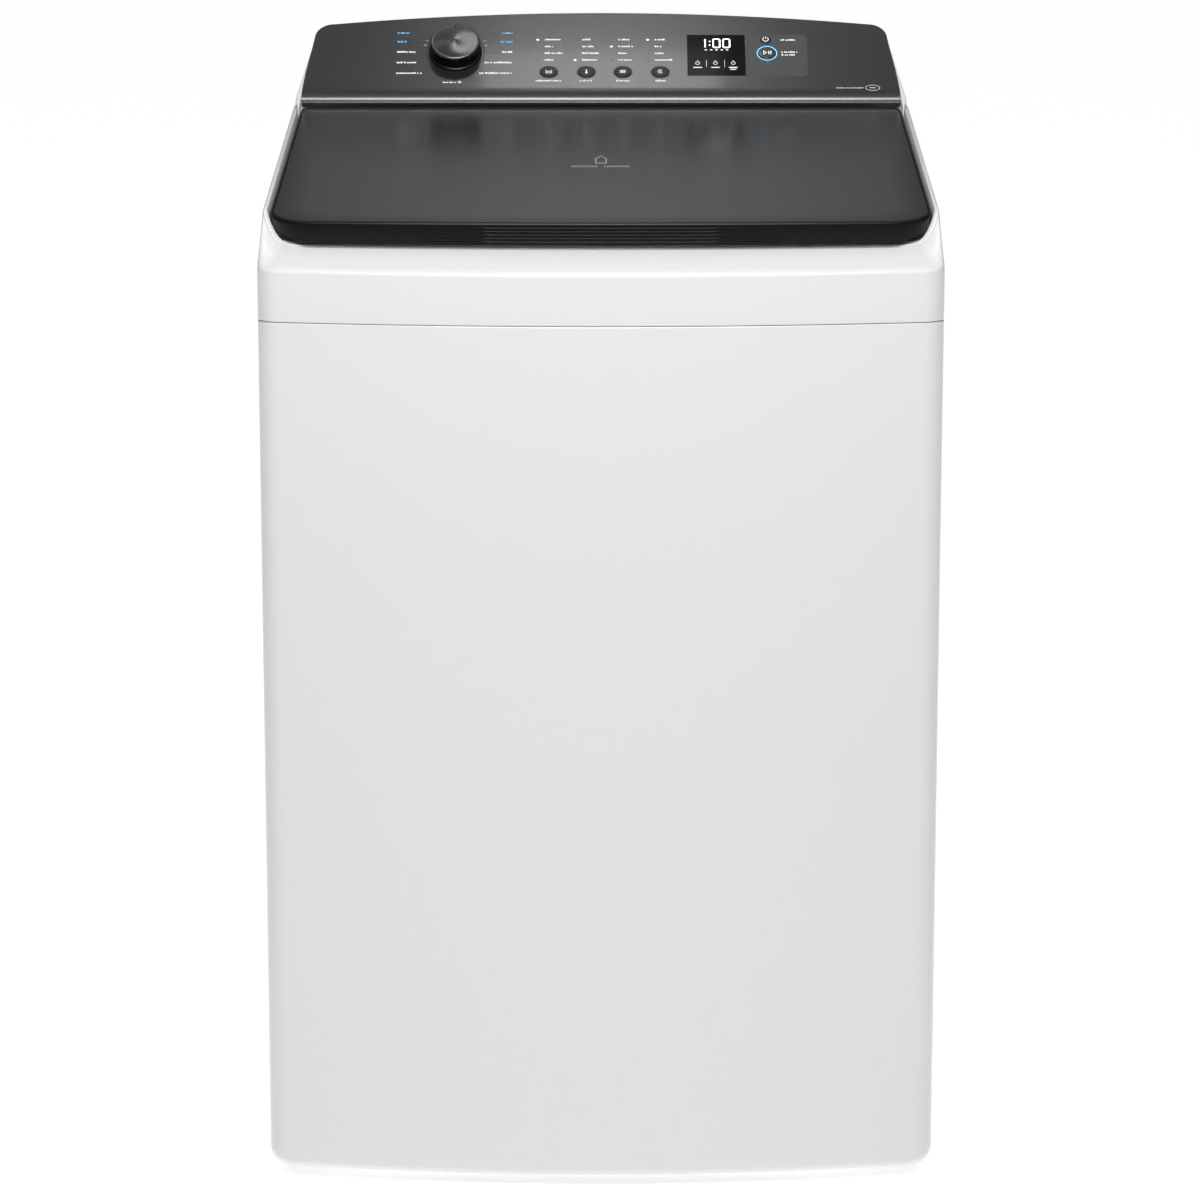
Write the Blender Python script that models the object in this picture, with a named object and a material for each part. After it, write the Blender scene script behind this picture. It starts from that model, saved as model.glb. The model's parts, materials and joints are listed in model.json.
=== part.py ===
"""Top load washing machine, modelled as its separate pieces.

Frame: metres, +Z up, the front faces -Y, the origin is on the floor under the middle of the cabinet.
Run with: blender --background --python part.py
"""

import math

import bpy
from mathutils import Matrix, Vector

# ------------------------------------------------------------------ driving dimensions
GAP = 0.0003  # kept between pieces that touch

HALF_WIDTH = 0.300
CORNER_Y = -0.292  # front plane at the vertical corners
FRONT_BOW = 0.028  # how far the front swells forward at its middle
CABINET_BACK_Y = 0.300
SEAM_Z = 0.783  # where the top cover sits on the cabinet
SHEET = 0.0015
CORNER_R = 0.022

CREASE_Z = 0.8285  # soft ridge round the top cover's front
COVER_BACK_Y = 0.302
COVER_WALL = 0.0016
DECK_FRONT_Z = 0.847  # deck under the lid, at y = DECK_FRONT_Y
DECK_FRONT_Y = -0.270
DECK_SLOPE = 0.06
RIM_BOTTOM_Z = 0.822  # lower edge of the loading mouth
HUMP_FRONT_Y = 0.222

LID_HALF_WIDTH = 0.2925
LID_FRONT_Y = -0.277
LID_BACK_Y = 0.207
LID_FRONT_Z = 0.868
LID_SLOPE = 0.1074
LID_THICK = 0.0195
LID_CROWN = 0.0035  # the glass is lower at its sides by this much, at the front
GLASS_THICK = 0.004
LID_BORDER = 0.003
HINGE_Y = 0.186
HINGE_Z = 0.9055
STRIKER_AT = (0.2590, -0.120)

PANEL_ORIGIN = Vector((0.0, 0.214, 0.932))  # front edge of the sloped console face
PANEL_TILT = math.radians(39.2)
PANEL_THICK = 0.006
FACIA_SHADOW_GAP = 0.0010  # between the face and the white hump below it
UNDER_FACIA_Z = 0.9221  # the cover's edge stays below the front edge of the face
PANEL_TOP_V = 0.1134  # length of the face up its slope, at the middle
CORNER_X, CORNER_V, CORNER_FACE_R = 0.2640, 0.0790, 0.0185  # round top corners of the face
KNOB_AT = (-0.1432, 0.057)  # (x, distance up the slope)
OPTION_BUTTONS_AT = [(-0.0511, 0.0294), (-0.0143, 0.0294), (0.0214, 0.0294), (0.0582, 0.0294)]
OPTION_BUTTON_RADII = (0.0081, 0.0070)
POWER_BUTTON_AT = (0.1624, 0.0744)
POWER_BUTTON_R = 0.0050
START_BUTTON_AT = (0.1634, 0.0557)
START_BUTTON_R = 0.0085
DISPLAY_AT = (0.1134, 0.0530)
DISPLAY_HALF = 0.0285
CONSOLE_MOUTH_X = 0.23  # the hump is open behind the face, within this distance of the middle
BOARD_X = (-0.186, 0.196)

DRUM_Y = -0.005
TUB_R = 0.266
TUB_BOTTOM_Z = 0.300
TUB_TOP_Z = 0.795
BASKET_R = 0.243
BASKET_BOTTOM_Z = 0.335
BASKET_TOP_Z = 0.768
PULSATOR_R = 0.165
PULSATOR_Z = 0.340
SPIN_TUBE_R = 0.0190
WASH_SHAFT_R = 0.0092
MOTOR_X = 0.150
PULLEY_Z = 0.118
DRIVE_PULLEY_R = 0.062
MOTOR_PULLEY_R = 0.023
GROOVE_DEPTH = 0.005
BELT_THICK = 0.0040
BELT_WIDTH = 0.0060

ROD_X = 0.245
ROD_Y = 0.238  # distance in front of and behind the drum's axis
ROD_PLATE_Z = 0.763
LUG_Z = 0.398
LUG_HEIGHT = 0.020
ROD_FOOT_Z = 0.262

PUMP_AT = (0.150, 0.165)
GLAND_AT = (-0.22, 0.10)  # (x, z) of the mains cord's gland on the rear panel
NIPPLES_X = (0.155, 0.205)
NIPPLE_Z = 0.872
BRACKET_HALF_WIDTH = 0.045
PUMP_TOP_Z = 0.150
OUTLET_Z = 0.092

BASE_BOTTOM_Z = 0.020
BASE_TOP_Z = 0.062
FOOT_X = 0.250
FOOT_FRONT_Y = -0.235
FOOT_REAR_Y = 0.245
FOOT_BORE_R = 0.0080

MOUTH_HALF_WIDTH = 0.212
MOUTH_FRONT_Y = -0.240
MOUTH_BACK_Y = 0.125
DRAWER_HALF_WIDTH = 0.098
DRAWER_Z = (0.832, 0.860)
DRAWER_BACK_Y = 0.238
HOUSING_HALF_WIDTH = 0.104
HOUSING_BACK_Y = 0.250
HOUSING_WALL = 0.0025

ROUND = 32  # segments round the large turned pieces
ROUND_SMALL = 20


# ------------------------------------------------------------------ building blocks
def remove_everything():
    for item in list(bpy.data.objects):
        bpy.data.objects.remove(item, do_unlink=True)


def material(name, colour, roughness, metallic=0.0):
    made = bpy.data.materials.new(name)
    made.use_nodes = True
    shader = made.node_tree.nodes["Principled BSDF"]
    shader.inputs["Base Color"].default_value = (*colour, 1.0)
    shader.inputs["Roughness"].default_value = roughness
    shader.inputs["Metallic"].default_value = metallic
    return made


def pivot(name, location):
    """An empty on a joint's axis, which the moving pieces hang from."""
    empty = bpy.data.objects.new(name, None)
    empty.location = location
    empty.empty_display_size = 0.03
    bpy.context.scene.collection.objects.link(empty)
    return empty


def piece(name, verts, faces, finish, parent=None, smooth_angle=35):
    """A mesh object from world coordinates; with a parent it keeps its place under that empty."""
    mesh = bpy.data.meshes.new(name)
    offset = Vector(parent.location) if parent else Vector()
    mesh.from_pydata([Vector(v) - offset for v in verts], [], faces)
    mesh.materials.append(finish)
    mesh.shade_smooth()
    mesh.set_sharp_from_angle(angle=math.radians(smooth_angle))
    made = bpy.data.objects.new(name, mesh)
    bpy.context.scene.collection.objects.link(made)
    if parent:
        made.parent = parent
    return made


def skin(rings, ends="capped"):
    """Vertices and faces of a surface through rings of equal length, listed along the outside.

    ends is capped, loop (the last ring joins the first) or open."""
    count = len(rings[0])
    verts = [point for ring in rings for point in ring]
    faces = []
    pairs = list(zip(range(len(rings) - 1), range(1, len(rings))))
    if ends == "loop":
        pairs.append((len(rings) - 1, 0))
    for low, high in pairs:
        for i in range(count):
            j = (i + 1) % count
            faces.append((low * count + i, low * count + j, high * count + j, high * count + i))
    if ends == "capped":
        faces.append(tuple(reversed(range(count))))
        faces.append(tuple(range((len(rings) - 1) * count, len(rings) * count)))
    return verts, faces


def circle(radius, z, segments):
    turns = [2 * math.pi * i / segments for i in range(segments)]
    return [Vector((radius * math.cos(t), radius * math.sin(t), z)) for t in turns]


def placed(points, frame):
    return [frame @ Vector(point) for point in points]


def turned(name, profile, finish, frame=Matrix(), segments=ROUND, closed=False, parent=None):
    """A turned piece. The profile's (radius, height) points run from the bottom middle outwards and up."""
    rings = [placed(circle(radius, z, segments), frame) for radius, z in profile]
    return piece(name, *skin(rings, "loop" if closed else "capped"), finish, parent)


def along(x, y, z=0.0):
    """Upright frame at a point."""
    return Matrix.Translation((x, y, z))


def pointing_back(x, y, z):
    """Frame whose height runs along +Y."""
    return Matrix.Translation((x, y, z)) @ Matrix.Rotation(math.radians(-90), 4, "X")


def pointing_right(x, y, z):
    """Frame whose height runs along +X."""
    return Matrix.Translation((x, y, z)) @ Matrix.Rotation(math.radians(90), 4, "Y")


def panel_frame(x=0.0, v=0.0):
    """Frame on the console face: X across, Y up the slope, Z out of it."""
    tilt = Matrix.Rotation(PANEL_TILT, 4, "X")
    return Matrix.Translation(PANEL_ORIGIN) @ tilt @ Matrix.Translation((x, v, 0.0))


BOX_FACES = [(0, 3, 2, 1), (4, 5, 6, 7), (0, 1, 5, 4), (1, 2, 6, 5), (2, 3, 7, 6), (3, 0, 4, 7)]


def block(name, low, high, finish, frame=Matrix(), parent=None):
    """A box between two corners."""
    x, y, z = zip(low, high)
    plan = [(x[0], y[0]), (x[1], y[0]), (x[1], y[1]), (x[0], y[1])]
    corners = [Vector((px, py, pz)) for pz in z for px, py in plan]
    return piece(name, placed(corners, frame), BOX_FACES, finish, parent)


def soften(target, width, segments=2):
    """Rounds a piece's edges."""
    bevel = target.modifiers.new("edges", "BEVEL")
    bevel.width = width
    bevel.segments = segments
    bevel.limit_method = "ANGLE"


def combine(target, tool, operation):
    """Cuts a tool from a piece, or joins it on; the tool itself isn't part of the object."""
    boolean = target.modifiers.new(tool.name, "BOOLEAN")
    boolean.operation = operation
    boolean.solver = "EXACT"
    boolean.object = tool
    tool.hide_render = True
    tool.display_type = "WIRE"


def cut(target, tool):
    combine(target, tool, "DIFFERENCE")


def weld(target, tool):
    combine(target, tool, "UNION")


def thicken(target, thickness):
    """Gives a sheet its thickness, inwards from its outer face."""
    solid = target.modifiers.new("thickness", "SOLIDIFY")
    solid.thickness = thickness
    solid.offset = -1.0
    solid.use_even_offset = True


# ------------------------------------------------------------------ plan outlines
SIDE_STATIONS = [0.262, 0.245, 0.228, 0.214, 0.204, 0.180, 0.060, -0.080]
BACK_STEPS = 4
BACK_CORNER_STEPS = 3
FRONT_CORNER_STEPS = 5
FRONT_STEPS = 7


def mix(a, b, share):
    return a + (b - a) * share


def clamp(value, low=0.0, high=1.0):
    return max(low, min(high, value))


def front_y(x, half_width, corner_y, bow):
    return corner_y - bow * (1 - (x / half_width) ** 2)


def left_outline(half_width, corner_y, bow, back_y, front_r, back_r, stations):
    """Left half of a plan outline, from the middle of the back to the middle of the front."""
    straight = half_width - back_r
    points = [(-straight * i / BACK_STEPS, back_y) for i in range(BACK_STEPS)]
    for i in range(BACK_CORNER_STEPS + 1):
        turn = math.radians(90 + 90 * i / BACK_CORNER_STEPS)
        points.append((-straight + back_r * math.cos(turn), back_y - back_r + back_r * math.sin(turn)))
    lean = math.atan(2 * bow * (half_width - front_r) / half_width**2)
    arc_end_x = -(half_width - front_r) - front_r * math.sin(lean)
    arc_y = front_y(arc_end_x, half_width, corner_y, bow) + front_r * math.cos(lean)
    points += [(-half_width, y) for y in stations]
    points += [(-half_width, mix(stations[-1], arc_y, share)) for share in (0.4, 0.75)]
    for i in range(FRONT_CORNER_STEPS + 1):
        turn = math.radians(180) + (math.radians(90) - lean) * i / FRONT_CORNER_STEPS
        points.append((-half_width + front_r + front_r * math.cos(turn), arc_y + front_r * math.sin(turn)))
    for i in range(1, FRONT_STEPS + 1):
        x = arc_end_x * (1 - i / FRONT_STEPS)
        points.append((x, front_y(x, half_width, corner_y, bow)))
    return points


def whole(left):
    """Closes a left half into a ring: the two middle points are shared."""
    return left + [(-x, y) for x, y in reversed(left[1:-1])]


def cabinet_outline(inset=0.0):
    return left_outline(
        HALF_WIDTH - inset, CORNER_Y + inset, FRONT_BOW, COVER_BACK_Y - inset, CORNER_R, 0.006,
        SIDE_STATIONS
    )


def squeezed(stations, back_y):
    """Side stations of an outline that ends at the console hump's front wall."""
    limit = back_y - 0.022
    return [y if y < limit else mix(limit, back_y - 0.0155, (y - limit) / 0.09) for y in stations]


def recess_outline(half_width, front_y_mid, back_y, front_r):
    """Outline of the recess that holds the lid, or of the lid itself."""
    bow = 0.021
    stations = squeezed(SIDE_STATIONS, back_y)
    return left_outline(half_width, front_y_mid + bow, bow, back_y, front_r, 0.014, stations)


def mouth_outline(inset):
    """The loading mouth: a rounded opening under the lid."""
    half_width = MOUTH_HALF_WIDTH - inset
    back_y = MOUTH_BACK_Y - inset
    span = (0.05, -0.09)
    share = [i / (len(SIDE_STATIONS) - 1) for i in range(len(SIDE_STATIONS))]
    stations = [mix(span[0], span[1], s) for s in share]
    return left_outline(half_width, MOUTH_FRONT_Y + inset + 0.012, 0.012, back_y, 0.120, 0.060, stations)


# ------------------------------------------------------------------ heights
def lid_top(y):
    """Height of the glass along the middle of the lid."""
    return LID_FRONT_Z + (y - LID_FRONT_Y) * LID_SLOPE


def lid_surface(x, y):
    fade = clamp((LID_BACK_Y - y) / (LID_BACK_Y - LID_FRONT_Y))
    return lid_top(y) - LID_CROWN * fade * (x / LID_HALF_WIDTH) ** 2


def deck_z(y):
    return DECK_FRONT_Z + (y - DECK_FRONT_Y) * DECK_SLOPE


def face_top_v(x):
    """How far up its slope the console face reaches: arched, with round corners."""
    if abs(x) < CORNER_X:
        return mix(PANEL_TOP_V, CORNER_V + CORNER_FACE_R, (x / CORNER_X) ** 2)
    return CORNER_V + math.sqrt(max(0.0, CORNER_FACE_R**2 - (abs(x) - CORNER_X) ** 2))


def hump_back_y(x):
    """The hump's back edge, under the back edge of the console face."""
    top_y = PANEL_ORIGIN.y + face_top_v(x) * math.cos(PANEL_TILT)
    return top_y + PANEL_THICK * math.sin(PANEL_TILT) - 0.0006


def hump_z(y):
    """Height of the console hump's sloped face, just under the facia."""
    drop = (PANEL_THICK + FACIA_SHADOW_GAP) / math.cos(PANEL_TILT)
    return PANEL_ORIGIN.z - drop + (y - PANEL_ORIGIN.y) * math.tan(PANEL_TILT)


def cheek_z(y):
    """Top edge of the cover's side: beside the lid, then up the end of the console."""
    beside_lid = min(0.872 + (y + 0.235) * 0.1187, UNDER_FACIA_Z)
    return max(beside_lid, hump_z(y)) if y > 0.19 else beside_lid


def cheek_x(z):
    """The console's ends lean inwards above the lid."""
    return HALF_WIDTH - 0.0005 - 0.30 * max(0.0, z - 0.925)


COVER_RISE_FROM = 0.933
LID_RISE_FROM = 0.862


def side_share(x, y, half_width, rise_from=COVER_RISE_FROM):
    """0 along the front, 1 on the sides and back: how far an edge has risen round the front corner."""
    return 1.0 if y > 0.0 else clamp((abs(x) / half_width - rise_from) / (1.0 - rise_from)) ** 2


# ------------------------------------------------------------------ materials
def make_finishes():
    return {
        "white_steel": material("white_steel", (0.86, 0.87, 0.88), 0.35),
        "white_plastic": material("white_plastic", (0.85, 0.86, 0.87), 0.38),
        "zinc_steel": material("zinc_steel", (0.55, 0.56, 0.57), 0.45, 0.8),
        "stainless": material("stainless", (0.62, 0.62, 0.62), 0.28, 1.0),
        "tinted_glass": material("tinted_glass", (0.10, 0.10, 0.11), 0.05),
        "black_plastic": material("black_plastic", (0.02, 0.02, 0.02), 0.35),
        "charcoal_plastic": material("charcoal_plastic", (0.06, 0.06, 0.065), 0.30),
        "spun_metal": material("spun_metal", (0.30, 0.30, 0.31), 0.25, 1.0),
        "grey_plastic": material("grey_plastic", (0.45, 0.46, 0.48), 0.45),
        "rubber": material("rubber", (0.03, 0.03, 0.03), 0.75),
        "board": material("board", (0.04, 0.20, 0.09), 0.5),
        "brass": material("brass", (0.70, 0.52, 0.24), 0.3, 1.0),
        "cast_aluminium": material("cast_aluminium", (0.60, 0.60, 0.61), 0.5, 0.9),
    }


# ------------------------------------------------------------------ cabinet
def make_cabinet(finish):
    """Sides and bowed front in one sheet, rolled in at the bottom, with a plate in each top corner."""
    levels = [(0.0105, 0.010), (0.0062, 0.0115), (0.0030, 0.0150), (0.0010, 0.0200), (0.0, 0.0280)]
    levels.append((0.0, SEAM_Z))
    rows = []
    for inset, z in levels:
        left = [
            p for p in cabinet_outline(inset) if p[0] < -HALF_WIDTH + inset + 1e-6 or p[1] < CORNER_Y + 0.03
        ]
        left[0] = (left[0][0], CABINET_BACK_Y)
        row = left + [(-x, y) for x, y in reversed(left[:-1])]
        rows.append([Vector((x, y, z)) for x, y in row])
    count = len(rows[0])
    verts = [point for row in rows for point in row]
    faces = []
    for k in range(len(rows) - 1):
        for i in range(count - 1):
            faces.append((k * count + i, k * count + i + 1, (k + 1) * count + i + 1, (k + 1) * count + i))
    wrap = piece("cabinet_wrap", verts, faces, finish["white_steel"])
    thicken(wrap, SHEET)
    for name, side, end in corners():
        y_inner, y_outer = sorted((DRUM_Y + end * 0.205, DRUM_Y + end * 0.275))
        x_inner, x_outer = sorted((side * 0.215, side * (HALF_WIDTH - SHEET / 2)))
        plate = block(
            "plate_" + name, (x_inner, y_inner, ROD_PLATE_Z), (x_outer, y_outer, ROD_PLATE_Z + 0.0035), None
        )
        weld(wrap, plate)
        frame = along(side * ROD_X, DRUM_Y + end * ROD_Y)
        hole = turned("plate_hole_" + name, [(0.0055, 0.75), (0.0055, 0.78)], None, frame, 12)
        cut(wrap, hole)


def corners():
    """Name, side (-1 left) and end (-1 front) of the four corners."""
    return [("front_left", -1, -1), ("front_right", 1, -1), ("rear_left", -1, 1), ("rear_right", 1, 1)]


def make_rear(finish):
    back = CABINET_BACK_Y
    edge = HALF_WIDTH - SHEET - GAP
    panel = block(
        "rear_panel", (-edge, back - 0.0017, 0.0285), (edge, back - 0.0002, 0.7825), finish["white_steel"]
    )
    cut(panel, block("service_hole", (-0.13, 0.25, 0.12), (0.10, 0.35, 0.42), None))
    cut(
        panel,
        turned(
            "outlet_hole", [(0.0140, -0.05), (0.0140, 0.05)], None,
            pointing_back(PUMP_AT[0], back, OUTLET_Z), 20
        )
    )
    cut(
        panel,
        turned(
            "gland_hole", [(0.0090, -0.05), (0.0090, 0.05)], None,
            pointing_back(GLAND_AT[0], back, GLAND_AT[1]), 20
        )
    )

    cover = block(
        "rear_service_cover", (-0.145, back + GAP, 0.105), (0.115, back + 0.0015, 0.435),
        finish["white_steel"]
    )
    ridge = block("cover_pressing", (-0.120, back + 0.0008, 0.130), (0.090, back + 0.0055, 0.410), None)
    soften(ridge, 0.003, 2)
    weld(cover, ridge)

    collar = [(0.0040, 0.0020), (0.0125, 0.0020), (0.0125, 0.0050), (0.0070, 0.0150), (0.0040, 0.0150)]
    turned(
        "cord_gland", collar, finish["black_plastic"],
        pointing_back(GLAND_AT[0], back - 0.0015, GLAND_AT[1]), 20, True
    )


def chamfered(half_width, front, back, size):
    """A rectangle in plan with its corners cut off."""
    right = [
        (half_width - size, front), (half_width, front + size), (half_width, back - size),
        (half_width - size, back)
    ]
    return [(-half_width + size, front)] + right + [(-x, y) for x, y in reversed(right[1:])]


def make_base(finish):
    """Moulded base ring with a threaded socket at each corner, and the four levelling feet."""
    outer = chamfered(0.2955, -0.2865, 0.2975, 0.018)
    inner = chamfered(0.2050, -0.1900, 0.1200, 0.020)
    rings = []
    for plan, z in [
        (outer, BASE_BOTTOM_Z), (outer, BASE_TOP_Z), (inner, BASE_TOP_Z), (inner, BASE_BOTTOM_Z)
    ]:
        rings.append([Vector((x, y, z)) for x, y in plan])
    base = piece("base_frame", *skin(rings, "loop"), finish["grey_plastic"])
    foot_profile = [
        (0.0215, 0.0), (0.0235, 0.0015), (0.0235, 0.0060), (0.0150, 0.0090), (0.0068, 0.0095),
        (0.0068, 0.0440),
        (0.0055, 0.0460),
    ]
    for name, side, end in corners():
        x, y = side * FOOT_X, FOOT_FRONT_Y if end < 0 else FOOT_REAR_Y
        socket = turned(
            "socket_" + name, [(FOOT_BORE_R, 0.0), (FOOT_BORE_R, 0.0565)], None, along(x, y), 16
        )
        cut(base, socket)
        axis = pivot("foot_axis_" + name, (x, y, 0.0))
        turned("foot_" + name, foot_profile, finish["black_plastic"], along(x, y), 16, False, axis)


# ------------------------------------------------------------------ top cover
def cover_rings():
    """The top cover's outer face: from the seam up over the edge, across the deck and into the mouth."""
    outer = whole(cabinet_outline())
    crease = whole(cabinet_outline(0.0012))
    recess = whole(recess_outline(0.2940, -0.2695, HUMP_FRONT_Y, 0.035))
    deck = whole(recess_outline(0.2937, -0.2680, HUMP_FRONT_Y - 0.0005, 0.035))
    outer_stations = whole(
        left_outline(0.2985, -0.2515, 0.021, COVER_BACK_Y - 0.0005, 0.038, 0.012, SIDE_STATIONS)
    )
    rings = [[Vector((x, y, SEAM_Z + GAP)) for x, y in outer]]
    rings.append([Vector((x, y, CREASE_Z - 0.004)) for x, y in outer])
    front = [1.0 - side_share(x, y, HALF_WIDTH) for x, y in outer]
    soft = [(mix(ox, cx, f), mix(oy, cy, f)) for (ox, oy), (cx, cy), f in zip(outer, crease, front)]
    rings.append([Vector((x, y, CREASE_Z - 0.0008)) for x, y in soft])

    def edge_ring(inset, drop, share_up):
        """A ring between the crease and the cover's top edge."""
        ring = []
        for (ox, oy), (ex, ey) in zip(outer, outer_stations):
            side = side_share(ex, ey, 0.2985)
            ey = min(ey, hump_back_y(ex * cheek_x(0.984) / 0.2985))
            lean = min(1.0, cheek_x(cheek_z(ey)) / 0.2985)
            x, y = mix(ox, ex * lean, share_up), mix(oy, ey, share_up)
            reach = math.hypot(x, y - DRUM_Y)
            x, y = x - inset * x / reach, y - inset * (y - DRUM_Y) / reach
            z_edge = mix(DECK_FRONT_Z - 0.0005, cheek_z(min(y, ey)), side) - drop
            ring.append(Vector((x, y, mix(CREASE_Z, z_edge, share_up))))
        return ring

    rings.append(edge_ring(0.0, 0.0, 0.10))
    rings.append(edge_ring(0.0, 0.0025, 0.55))
    rings.append(edge_ring(0.0, 0.0025, 1.0))
    rings.append(edge_ring(0.0010, 0.0006, 1.0))
    rings.append(edge_ring(0.0025, 0.0, 1.0))

    inside = []
    for x, y in recess:
        side = side_share(x, y, 0.2940)
        edge_z = cheek_z(y) - 0.0008 if y < 0.19 else min(cheek_z(y) - 0.0040, hump_z(y))
        inside.append(Vector((x, y, mix(DECK_FRONT_Z, edge_z, side))))
    rings.append(inside)
    rings.append([Vector((x, y, deck_z(y))) for x, y in deck])
    rings.append([Vector((x, y, deck_z(y))) for x, y in whole(mouth_outline(0.0))])
    rings.append([Vector((x, y, deck_z(y) - 0.0040)) for x, y in whole(mouth_outline(0.0035))])
    rings.append([Vector((x, y, RIM_BOTTOM_Z)) for x, y in whole(mouth_outline(0.0070))])
    return rings


def make_top_cover(finish):
    verts, faces = skin(cover_rings(), "open")

    def over_console_mouth(face):
        corners_of_face = [verts[i] for i in face]
        reach = [corner.y for corner in corners_of_face]
        across = max(abs(corner.x) for corner in corners_of_face)
        return min(reach) < HUMP_FRONT_Y + 0.01 and max(reach) > 0.28 and across < CONSOLE_MOUTH_X

    open_faces = [face for face in faces if not over_console_mouth(face)]
    cover = piece("top_cover", verts, open_faces, finish["white_plastic"])
    thicken(cover, COVER_WALL)
    for x in NIPPLES_X:
        nipple_hole = [(0.0140, -0.03), (0.0140, 0.03)]
        cut(cover, turned("nipple_hole", nipple_hole, None, pointing_back(x, COVER_BACK_Y, NIPPLE_Z), 20))
    x, y = STRIKER_AT
    cut(cover, block("striker_slot", (x - 0.004, y - 0.015, 0.84), (x + 0.004, y + 0.015, 0.87), None))
    slot = DRAWER_HALF_WIDTH + 0.001
    cut(
        cover,
        block("drawer_slot", (-slot, 0.100, DRAWER_Z[0] - 0.001), (slot, 0.150, DRAWER_Z[1] + 0.001), None)
    )


# ------------------------------------------------------------------ lid
def make_lid(finish):
    axis = pivot("lid_axis", (0.0, HINGE_Y, HINGE_Z))
    outline = whole(recess_outline(LID_HALF_WIDTH, LID_FRONT_Y, LID_BACK_Y, 0.043))
    seat = whole(
        recess_outline(LID_HALF_WIDTH - LID_BORDER, LID_FRONT_Y + LID_BORDER, LID_BACK_Y - 0.002, 0.040)
    )
    inner = whole(recess_outline(LID_HALF_WIDTH - 0.042, LID_FRONT_Y + 0.040, LID_BACK_Y - 0.052, 0.030))

    def level(plan, drop, under=False):
        return [Vector((x, y, (lid_top(y) if under else lid_surface(x, y)) - drop)) for x, y in plan]

    def underside(x, y):
        """The lip is deep along the front and thins out round the corners."""
        thinned = 0.7 * side_share(x, y, LID_HALF_WIDTH, LID_RISE_FROM) * clamp((0.10 - y) / 0.10)
        return Vector((x, y, lid_surface(x, y) - LID_THICK * (1.0 - thinned)))

    seat_drop = GLASS_THICK + GAP
    rings = [
        level(inner, LID_THICK, True),
        [underside(x, y) for x, y in outline],
        level(outline, 0.0008),
        level([(mix(x, sx, 0.3), mix(y, sy, 0.3)) for (x, y), (sx, sy) in zip(outline, seat)], 0.0),
        level(seat, 0.0),
        level(seat, seat_drop),
        level(inner, seat_drop),
    ]
    frame = piece("lid_frame", *skin(rings, "loop"), finish["black_plastic"], axis)
    x, y = STRIKER_AT
    weld(frame, block("striker", (x - 0.0015, y - 0.007, 0.842), (x + 0.0015, y + 0.007, 0.870), None))
    for side in (-1, 1):
        bore = turned(
            "pin_bore", [(0.0044, -0.03), (0.0044, 0.04)], None,
            pointing_right(side * 0.284, HINGE_Y, HINGE_Z), 16
        )
        cut(frame, bore)
        name = "hinge_pin_left" if side < 0 else "hinge_pin_right"
        place = pointing_right(side * 0.27625, HINGE_Y, HINGE_Z)
        turned(
            name, [(0.0035, -0.0175), (0.0040, -0.0168), (0.0040, 0.0168), (0.0035, 0.0175)],
            finish["zinc_steel"], place, 16
        )

    glass_edge = whole(
        recess_outline(
            LID_HALF_WIDTH - LID_BORDER - GAP, LID_FRONT_Y + LID_BORDER + GAP, LID_BACK_Y - 0.0025, 0.0395
        )
    )
    middle = Vector((0.0, (LID_FRONT_Y + LID_BACK_Y) / 2))

    def shrunk(share):
        return [(mix(middle.x, x, share), mix(middle.y, y, share)) for x, y in glass_edge]

    glass_rings = [
        level(shrunk(0.5), GLASS_THICK),
        level(shrunk(0.996), GLASS_THICK),
        level(glass_edge, GLASS_THICK - 0.0006),
        level(glass_edge, 0.0008),
        level(shrunk(0.996), 0.0),
        level(shrunk(0.7), 0.0),
        level(shrunk(0.4), 0.0),
    ]
    piece("lid_glass", *skin(glass_rings), finish["tinted_glass"], axis)


def make_lid_lock(finish):
    x, y = STRIKER_AT
    lock = block(
        "lid_lock", (x - 0.0145, y - 0.035, 0.826), (x + 0.0145, y + 0.032, 0.8505), finish["black_plastic"]
    )
    cut(lock, block("latch_slot", (x - 0.0045, y - 0.016, 0.836), (x + 0.0045, y + 0.016, 0.86), None))


# ------------------------------------------------------------------ console
def facia_outline():
    """Outline of the console face in its own plane, anticlockwise from the front left corner."""
    right = [(0.2925, 0.0), (0.2905, 0.022), (0.2870, 0.048), (0.2835, 0.070)]
    for i in range(5):
        turn = math.radians(5 + 80 * i / 4)
        right.append((CORNER_X + CORNER_FACE_R * math.cos(turn), CORNER_V + CORNER_FACE_R * math.sin(turn)))
    right += [(x, face_top_v(x)) for x in (0.2450, 0.2000, 0.1500, 0.1000, 0.0500)]
    front = [(x, 0.0) for x in (-0.19, -0.09, 0.0, 0.09, 0.19)]
    left = [(-x, v) for x, v in reversed(right)]
    return front + right + [(0.0, PANEL_TOP_V)] + left


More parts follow.
